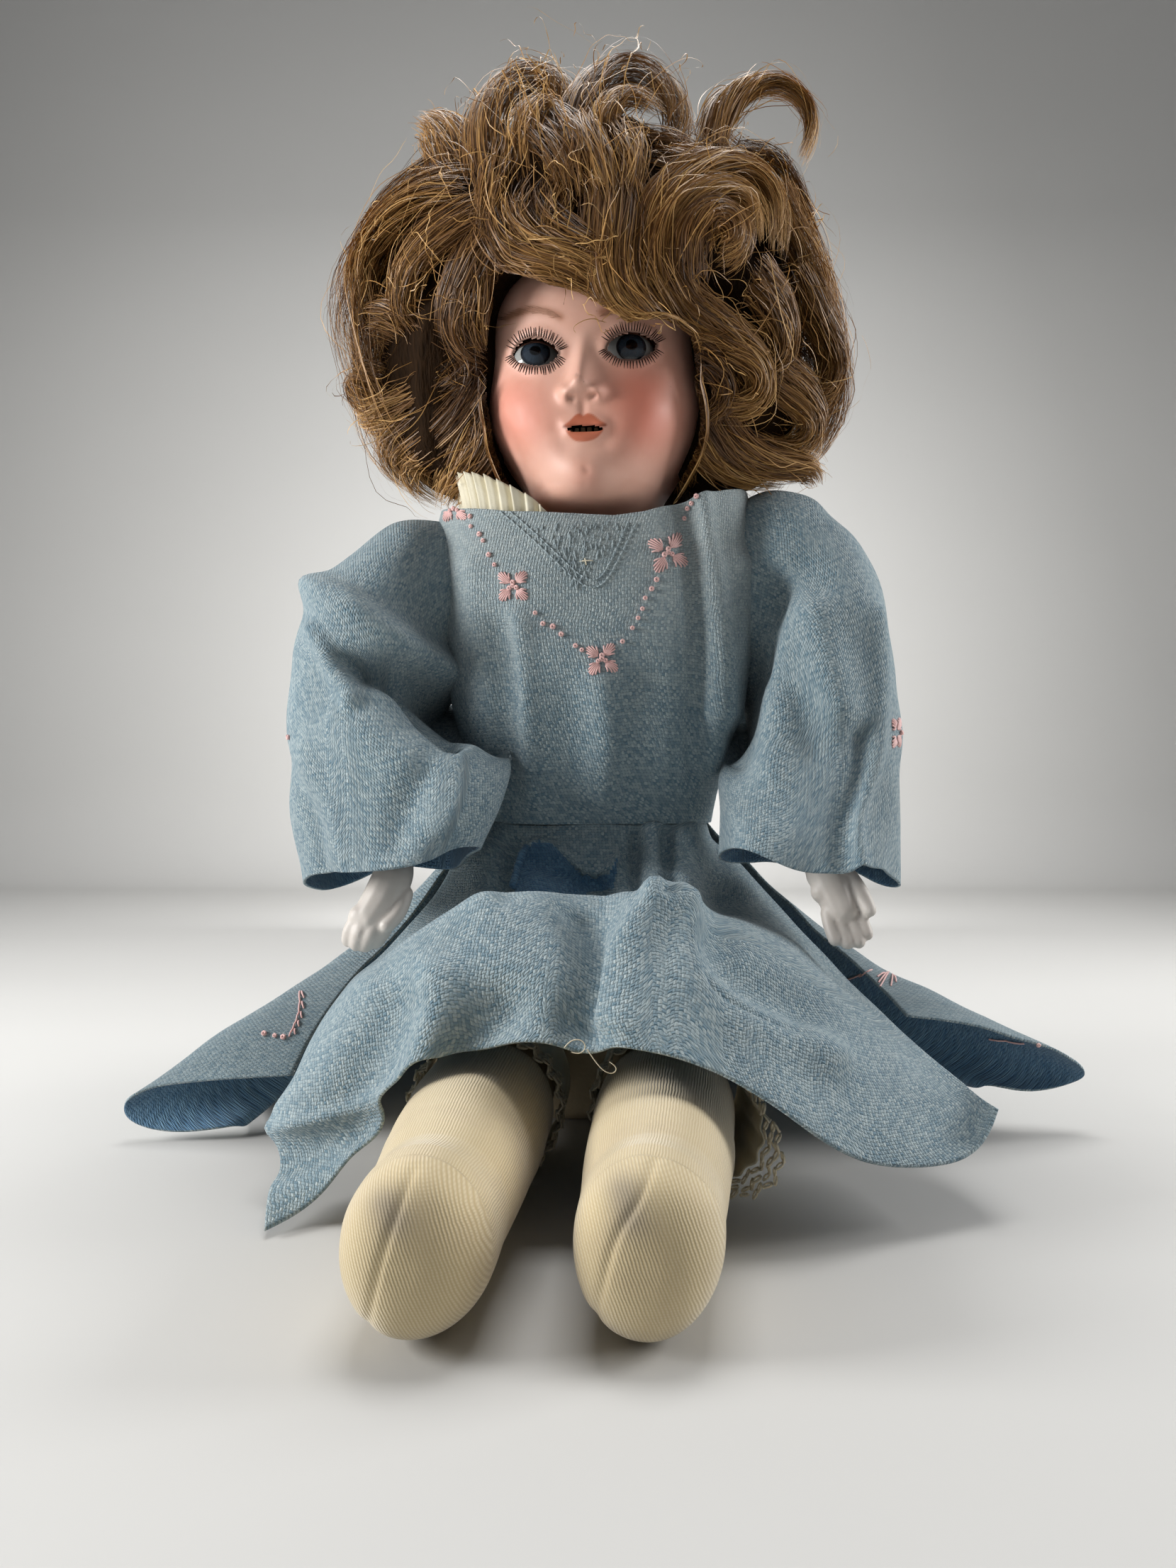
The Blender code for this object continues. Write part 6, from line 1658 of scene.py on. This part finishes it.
# Radius at the root, the middle and the tip, the number of hairs, and the lock's path in mm from the neck
# pivot.
FRONT_LOCKS = [
    (9, 10, 8, 170, [(-36, -34, 118), (-40, -32, 135), (-38, -24, 157), (-27, -19, 170), (-14, -16, 171),
        (-7, -19, 159), (-8, -24, 142)]),
    (8, 8, 7, 130, [(-24, -38, 115), (-26, -38, 132), (-24, -34, 147), (-16, -30, 155), (-11, -30, 147)]),
    (8, 9, 7, 170, [(-7, -34, 130), (-7, -30, 149), (2, -22, 168), (15, -18, 176), (28, -20, 168),
        (34, -26, 149), (29, -30, 138)]),
    (7, 7, 6, 120, [(2, -36, 129), (1, -36, 142), (8, -32, 155), (18, -30, 157), (27, -32, 148)]),
    (9, 8, 5, 120, [(-41, -29, 121), (-46, -22, 141), (-57, -12, 159), (-66, -4, 163)]),
    (8, 8, 5, 100, [(-48, -30, 119), (-55, -24, 136), (-62, -12, 156)]),
    (7, 6, 3, 190, [(43, -24, 137), (46, -18, 157), (59, -14, 171), (73, -12, 173), (83, -12, 164),
        (84, -12, 153), (79, -14, 141)]),
    (6, 5, 2, 120, [(55, -22, 141), (66, -18, 144), (75, -16, 136), (81, -16, 123), (85, -16, 113)]),
    (7, 8, 6, 210, [(20, -46, 84), (19, -48, 93), (22, -48, 108), (33, -44, 121), (49, -40, 128),
        (63, -38, 123), (68, -38, 108), (66, -40, 94)]),
    (7, 7, 6, 180, [(27, -48, 76), (24, -51, 87), (26, -52, 101), (36, -50, 112), (49, -48, 115),
        (58, -48, 107), (58, -49, 95)]),
    (7, 8, 7, 160, [(35, -52, 81), (32, -54, 93), (40, -54, 103), (49, -54, 100), (51, -54, 90),
        (43, -54, 87)]),
    (7, 7, 5, 150, [(20, -50, 92), (24, -51, 82), (32, -50, 73), (44, -48, 69), (56, -44, 66)]),
    (6, 6, 5, 130, [(26, -52, 89), (32, -53, 78), (42, -51, 73), (53, -48, 68), (63, -42, 61)]),
    (6, 7, 4, 170, [(-35, -42, 108), (-33, -46, 97), (-27, -49, 88), (-15, -51, 84), (-5, -51, 82),
        (3, -50, 76)]),
    (7, 7, 5, 170, [(-29, -42, 112), (-26, -47, 100), (-18, -50, 92), (-7, -52, 88), (3, -51, 84),
        (11, -50, 77)]),
    (8, 8, 6, 170, [(-18, -40, 118), (-17, -46, 104), (-8, -50, 96), (2, -52, 91), (7, -52, 84)]),
    (7, 7, 4, 180, [(10, -38, 129), (7, -48, 107), (5, -52, 91), (5, -52, 79), (11, -51, 69), (24, -49, 66),
        (33, -47, 66)]),
    (6, 6, 5, 150, [(15, -38, 127), (14, -49, 105), (11, -53, 88), (13, -52, 76), (22, -50, 70),
        (33, -48, 68), (44, -44, 65)]),
    (6, 6, 4, 140, [(5, -38, 128), (2, -48, 107), (1, -52, 91), (3, -52, 81), (7, -51, 74)]),
    (9, 9, 7, 160, [(-6, -34, 130), (-11, -42, 114), (-16, -47, 101), (-13, -50, 89)]),
    (9, 9, 7, 150, [(-16, -32, 131), (-24, -40, 115), (-27, -44, 103), (-23, -48, 91)]),
    (8, 8, 6, 120, [(21, -34, 130), (28, -40, 127), (38, -40, 128), (48, -38, 128)]),
    (8, 8, 6, 120, [(13, -30, 139), (21, -32, 140), (31, -32, 138), (41, -30, 134)]),
    (8, 8, 7, 130, [(0, -32, 135), (8, -34, 135), (15, -38, 128), (17, -46, 112), (19, -49, 98)]),
    (11, 12, 9, 230, [(-41, -30, 123), (-55, -28, 124), (-69, -22, 120), (-81, -16, 110), (-87, -14, 97),
        (-84, -16, 84)]),
    (11, 11, 9, 230, [(-38, -36, 112), (-49, -36, 107), (-60, -32, 101), (-68, -28, 91), (-70, -26, 80),
        (-64, -26, 72)]),
    (10, 10, 8, 210, [(-35, -40, 102), (-42, -40, 92), (-48, -38, 82), (-51, -36, 73), (-46, -36, 64),
        (-38, -36, 61)]),
    (7, 7, 6, 130, [(-39, -40, 94), (-40, -42, 83), (-42, -41, 73), (-39, -40, 65)]),
    (10, 10, 8, 170, [(-53, -22, 135), (-69, -16, 130), (-81, -8, 121), (-89, -4, 108), (-91, -2, 95)]),
    (8, 9, 6, 190, [(-83, -18, 80), (-76, -22, 81), (-66, -26, 77), (-59, -28, 70), (-61, -28, 62),
        (-71, -24, 62), (-80, -20, 67)]),
    (8, 8, 6, 170, [(-64, -28, 76), (-53, -32, 72), (-45, -34, 65), (-47, -34, 55), (-58, -32, 55)]),
    (7, 7, 6, 160, [(-73, -20, 50), (-85, -16, 54), (-92, -14, 60), (-90, -14, 64), (-79, -18, 63),
        (-69, -22, 56)]),
    (8, 8, 6, 160, [(-54, -32, 56), (-65, -28, 52), (-77, -24, 48), (-86, -20, 47), (-87, -18, 53)]),
    (11, 12, 8, 230, [(-42, -34, 62), (-55, -30, 54), (-69, -22, 46), (-78, -16, 37), (-75, -12, 29),
        (-64, -12, 22)]),
    (12, 12, 8, 230, [(-37, -34, 58), (-45, -32, 46), (-59, -26, 37), (-70, -18, 33), (-66, -14, 23),
        (-56, -12, 18)]),
    (11, 11, 8, 210, [(-36, -32, 50), (-38, -32, 38), (-45, -28, 30), (-53, -22, 23), (-56, -16, 17)]),
    (9, 9, 7, 150, [(-35, -30, 44), (-32, -28, 34), (-34, -24, 25), (-38, -18, 19)]),
    (10, 11, 9, 210, [(66, -30, 126), (73, -26, 114), (81, -22, 102), (86, -20, 89), (89, -20, 79)]),
    (9, 10, 7, 210, [(74, -30, 94), (82, -28, 84), (91, -24, 74), (93, -22, 62), (87, -22, 53),
        (79, -24, 54)]),
    (9, 9, 7, 200, [(56, -46, 87), (65, -42, 81), (71, -38, 72), (70, -36, 62), (62, -36, 57)]),
    (8, 8, 6, 190, [(45, -48, 68), (56, -44, 65), (63, -40, 57), (61, -38, 47), (50, -38, 44),
        (41, -39, 47)]),
    (7, 7, 6, 160, [(33, -46, 65), (43, -44, 61), (50, -42, 52), (47, -40, 43), (38, -40, 40)]),
    (10, 10, 8, 230, [(66, -36, 61), (78, -30, 54), (85, -26, 44), (80, -24, 34), (69, -26, 30),
        (59, -30, 36)]),
    (10, 10, 8, 210, [(34, -41, 55), (35, -38, 46), (39, -34, 36), (50, -30, 28), (61, -28, 24),
        (74, -24, 25)]),
    (8, 8, 4, 180, [(44, -38, 44), (51, -36, 34), (63, -32, 28), (75, -28, 28), (84, -24, 27),
        (86, -22, 21)]),
    (10, 10, 8, 160, [(35, -34, 42), (34, -28, 34), (36, -22, 26), (34, -16, 21)]),
    (9, 9, 8, 180, [(86, -20, 79), (95, -16, 69), (96, -14, 56), (90, -14, 42), (80, -16, 30)]),
    (8, 8, 6, 130, [(-22, -34, 142), (-14, -41, 133), (-8, -45, 121), (-6, -47, 108)]),
    (8, 8, 6, 130, [(-6, -34, 145), (-1, -42, 133), (3, -46, 120), (6, -49, 106)]),
    (7, 8, 6, 120, [(-16, -28, 152), (-9, -38, 141), (-4, -43, 129), (-9, -46, 116)]),
    (7, 8, 6, 120, [(8, -30, 146), (13, -39, 136), (16, -44, 124), (13, -48, 110)]),
    (8, 8, 6, 120, [(-34, -28, 140), (-32, -38, 128), (-36, -42, 114), (-38, -42, 100)]),
]


def hairs(path, radii, count, seed, loose):
    """Places along each hair of a lock: hairs by points by 3, in mm from the neck pivot."""
    rng = np.random.default_rng(seed)
    middle = eased(path, PATH_POINTS)
    ahead = np.gradient(middle, axis=0)
    ahead = ahead / np.linalg.norm(ahead, axis=1, keepdims=True)
    out = middle - WIG_MIDDLE
    side = np.cross(ahead, out)
    side = side / np.maximum(np.linalg.norm(side, axis=1, keepdims=True), 1e-9)
    up = np.cross(side, ahead)
    start = rng.uniform(0, 0.12, (count, 1))
    end = rng.uniform(0.8, 1.0, (count, 1))
    share = start + (end - start) * np.linspace(0, 1, STRAND_POINTS)[None, :]
    at = share * (PATH_POINTS - 1)
    i = np.minimum(at.astype(int), PATH_POINTS - 2)
    t = (at - i)[..., None]
    here, across, over = (a[i] * (1 - t) + a[i + 1] * t for a in (middle, side, up))
    radius = np.interp(share, [0, 0.5, 1], radii)
    angle = rng.uniform(0, 2 * np.pi, (count, 1)) + share * rng.normal(0, 0.6, (count, 1))
    away = np.sqrt(rng.uniform(0, 1, (count, 1))) * radius
    aside = (np.cos(angle) * away)[..., None]
    above = (np.sin(angle) * away * 0.7)[..., None]
    points = here + across * aside + over * above
    for waves, size in ((0.9, 1.5), (2.0, 0.6), (4.5, 0.2)):
        phase = rng.uniform(0, 2 * np.pi, (count, 1, 3))
        swing = rng.normal(0, 1, (count, 1, 3)) * size * loose
        points = points + swing * np.sin(2 * np.pi * waves * share[..., None] + phase)
    return points


# Beside the cheeks the hair lies back, so that the face stands clear of it.
SET_BACK = 13.0


def laid_back(points):
    """Moves the hairs beside the cheeks back from the face."""
    low = np.clip((92 - points[..., 2]) / 26, 0, 1)
    aside = np.clip((np.abs(points[..., 0]) - 18) / 14, 0, 1)
    points = points.copy()
    points[..., 1] += SET_BACK * low * aside
    return points


# The edge of the hair round the face, in pixels of the photograph, from the doll's right temple upwards.
FACE_EDGE = [(694, 442), (700, 405), (712, 385), (774, 402), (838, 428), (885, 456)]
FACE_EDGE += [(940, 452), (973, 474), (978, 542), (986, 615), (966, 664), (940, 705)]
FACE_EDGE += [(830, 740), (740, 710), (704, 650), (694, 600), (692, 520)]
FACE_MIDDLE = np.array([835.0, 560.0])
EDGE_BAND = 14


def swept(points):
    """Moves hairs that would cross the face aside to the edge of the hair, in the camera's view."""
    world = (points + np.array(HEAD_PIVOT)) * MM
    place, pixel = seen(world)
    away = place - FACE_MIDDLE
    edge = np.array(FACE_EDGE) - FACE_MIDDLE
    bearing = np.arctan2(edge[:, 1], edge[:, 0])
    order = np.argsort(bearing)
    angle = np.arctan2(away[..., 1], away[..., 0])
    reach = np.interp(angle, bearing[order], np.hypot(*edge.T)[order], period=2 * np.pi)
    distance = np.hypot(away[..., 0], away[..., 1])
    wanted = np.where(distance < reach, reach + EDGE_BAND * distance / reach, distance)
    heading = away / np.maximum(distance, 1e-6)[..., None]
    move = heading * (wanted - distance)[..., None] * pixel[..., None] / MM
    points = points.copy()
    points[..., 0] += move[..., 0]
    points[..., 2] -= move[..., 1]
    return points


def ribbons(name, bundles, seed):
    """One mesh of flat hairs from several bundles, each with its tone from 0, dark, to 1, bleached; hairs
    deep inside the wig get a darker tone, as painted shade.
    """
    rng = np.random.default_rng(seed)
    points = np.concatenate([bundle for bundle, _ in bundles])
    tones = np.concatenate([base + rng.normal(0, 0.13, len(bundle)) for bundle, base in bundles])
    ahead = np.gradient(points, axis=1)
    out = points - WIG_MIDDLE + rng.normal(0, 30, (len(points), 1, 3))
    across = np.cross(ahead, out)
    across = across / np.maximum(np.linalg.norm(across, axis=2, keepdims=True), 1e-9)
    taper = np.interp(np.linspace(0, 1, STRAND_POINTS), [0, 0.1, 0.8, 1], [0.7, 1, 0.9, 0.25])
    step = across * (taper * STRAND_HALF_WIDTH)[None, :, None]
    edges = np.stack([points - step, points + step], axis=2)
    world = (edges.reshape(-1, 3) + np.array(HEAD_PIVOT)) * MM
    first = np.arange(len(points))[:, None] * STRAND_POINTS * 2 + np.arange(STRAND_POINTS - 1)[None, :] * 2
    faces = np.stack([first, first + 1, first + 3, first + 2], axis=2).reshape(-1, 4)
    obj = plain_mesh(name, world.tolist(), faces.tolist(), mohair)
    along = np.linspace(-0.06, 0.12, STRAND_POINTS)
    # Painted shade: hairs that lie nearer the middle of the wig than its outer reach get a darker tone.
    standing = np.linalg.norm((points - WIG_MIDDLE) / WIG_REACH, axis=2)
    depth = np.clip((standing - 1) * 1.1, -0.38, 0.12)
    shades = np.repeat((tones[:, None] + along[None, :] + depth).ravel(), 2)
    marked(obj.data, "tone", np.clip(shades, 0, 1))
    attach(obj, "head")
    return obj


bundles = []
for number, (root, middle, tip, count, path) in enumerate(FRONT_LOCKS):
    base = 0.5 + 0.1 * math.sin(number * 2.4)
    body = hairs(path, (root, middle * 0.9, tip * 0.8), count * 3 // 2, 100 + number, 0.5)
    fringe = hairs(path, (root * 1.2, middle * 1.15, tip * 1.2), count // 8, 300 + number, 2.2)
    bundles += [(swept(laid_back(body)), base), (swept(laid_back(fringe)), base + 0.14)]
half = len(bundles) // 2
front_hair = ribbons("mohair_crown_locks", bundles[:half], 21)
ribbons("mohair_side_locks", bundles[half:], 22)
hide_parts("wig")

# Locks round the back hang from the crown in loose waves and turn under at the nape.
# Two rows of locks, and the half width and depth of the hair at each height, in mm.
ROW_LOCKS = 23
BACK_LEVELS = [20, 40, 62, 84, 108, 130, 150, 165]
BACK_HALF_WIDTHS = [60, 84, 90, 89, 84, 73, 56, 30]
BACK_DEPTHS = [48, 69, 76, 78, 75, 66, 50, 28]
CROWN_HEIGHT = 160
rng = np.random.default_rng(5)
bundles = []
for number in range(2 * ROW_LOCKS):
    bearing = math.radians(-12 + 204 * (number % ROW_LOCKS) / (ROW_LOCKS - 1) + rng.uniform(-3, 3))
    low = 22 if number < ROW_LOCKS else 60
    path = []
    for step in range(7):
        share = step / 6
        level = CROWN_HEIGHT - (CROWN_HEIGHT - low) * share**0.9
        profile = np.interp(level, BACK_LEVELS, BACK_HALF_WIDTHS)
        depth = np.interp(level, BACK_LEVELS, BACK_DEPTHS)
        wave = 5 * math.sin(step * 1.9 + number)
        x = math.cos(bearing) * (profile + wave)
        y = math.sin(bearing) * (depth + wave) + 4
        path.append((x + rng.uniform(-5, 5), y, level + rng.uniform(-4, 4)))
    bundles.append((hairs(path, (10, 12, 8), 95, 500 + number, 1.4), 0.46 + 0.1 * math.sin(number * 1.7)))
ribbons("mohair_back_locks", bundles, 23)

# Stray hairs: long, springy, single, and bleached.
STRAY_HAIRS = 420
rng = np.random.default_rng(9)
strays = []
for number in range(STRAY_HAIRS):
    bearing = rng.uniform(0, 2 * np.pi)
    rise = rng.uniform(-0.5, 1.0)
    start = np.array([math.cos(bearing) * 84, -math.sin(bearing) * 50 - 4, 95 + rise * 66])
    start[0] *= math.sqrt(max(0.05, 1 - max(0, rise) ** 2))
    heading = (start - WIG_MIDDLE) / np.linalg.norm(start - WIG_MIDDLE)
    curl = np.cross(heading, rng.normal(0, 1, 3))
    reach = rng.uniform(8, 20)
    path = [start - heading * 12]
    for step in (0.4, 0.8, 1.0):
        path.append(start + heading * reach * step * (1.3 - step) + curl * reach * step * 1.1)
    strays.append(hairs(path, (0.5, 1, 2), 1, 900 + number, 1.6))
ribbons("mohair_stray_hairs", [(np.concatenate(strays), 0.72)], 24)
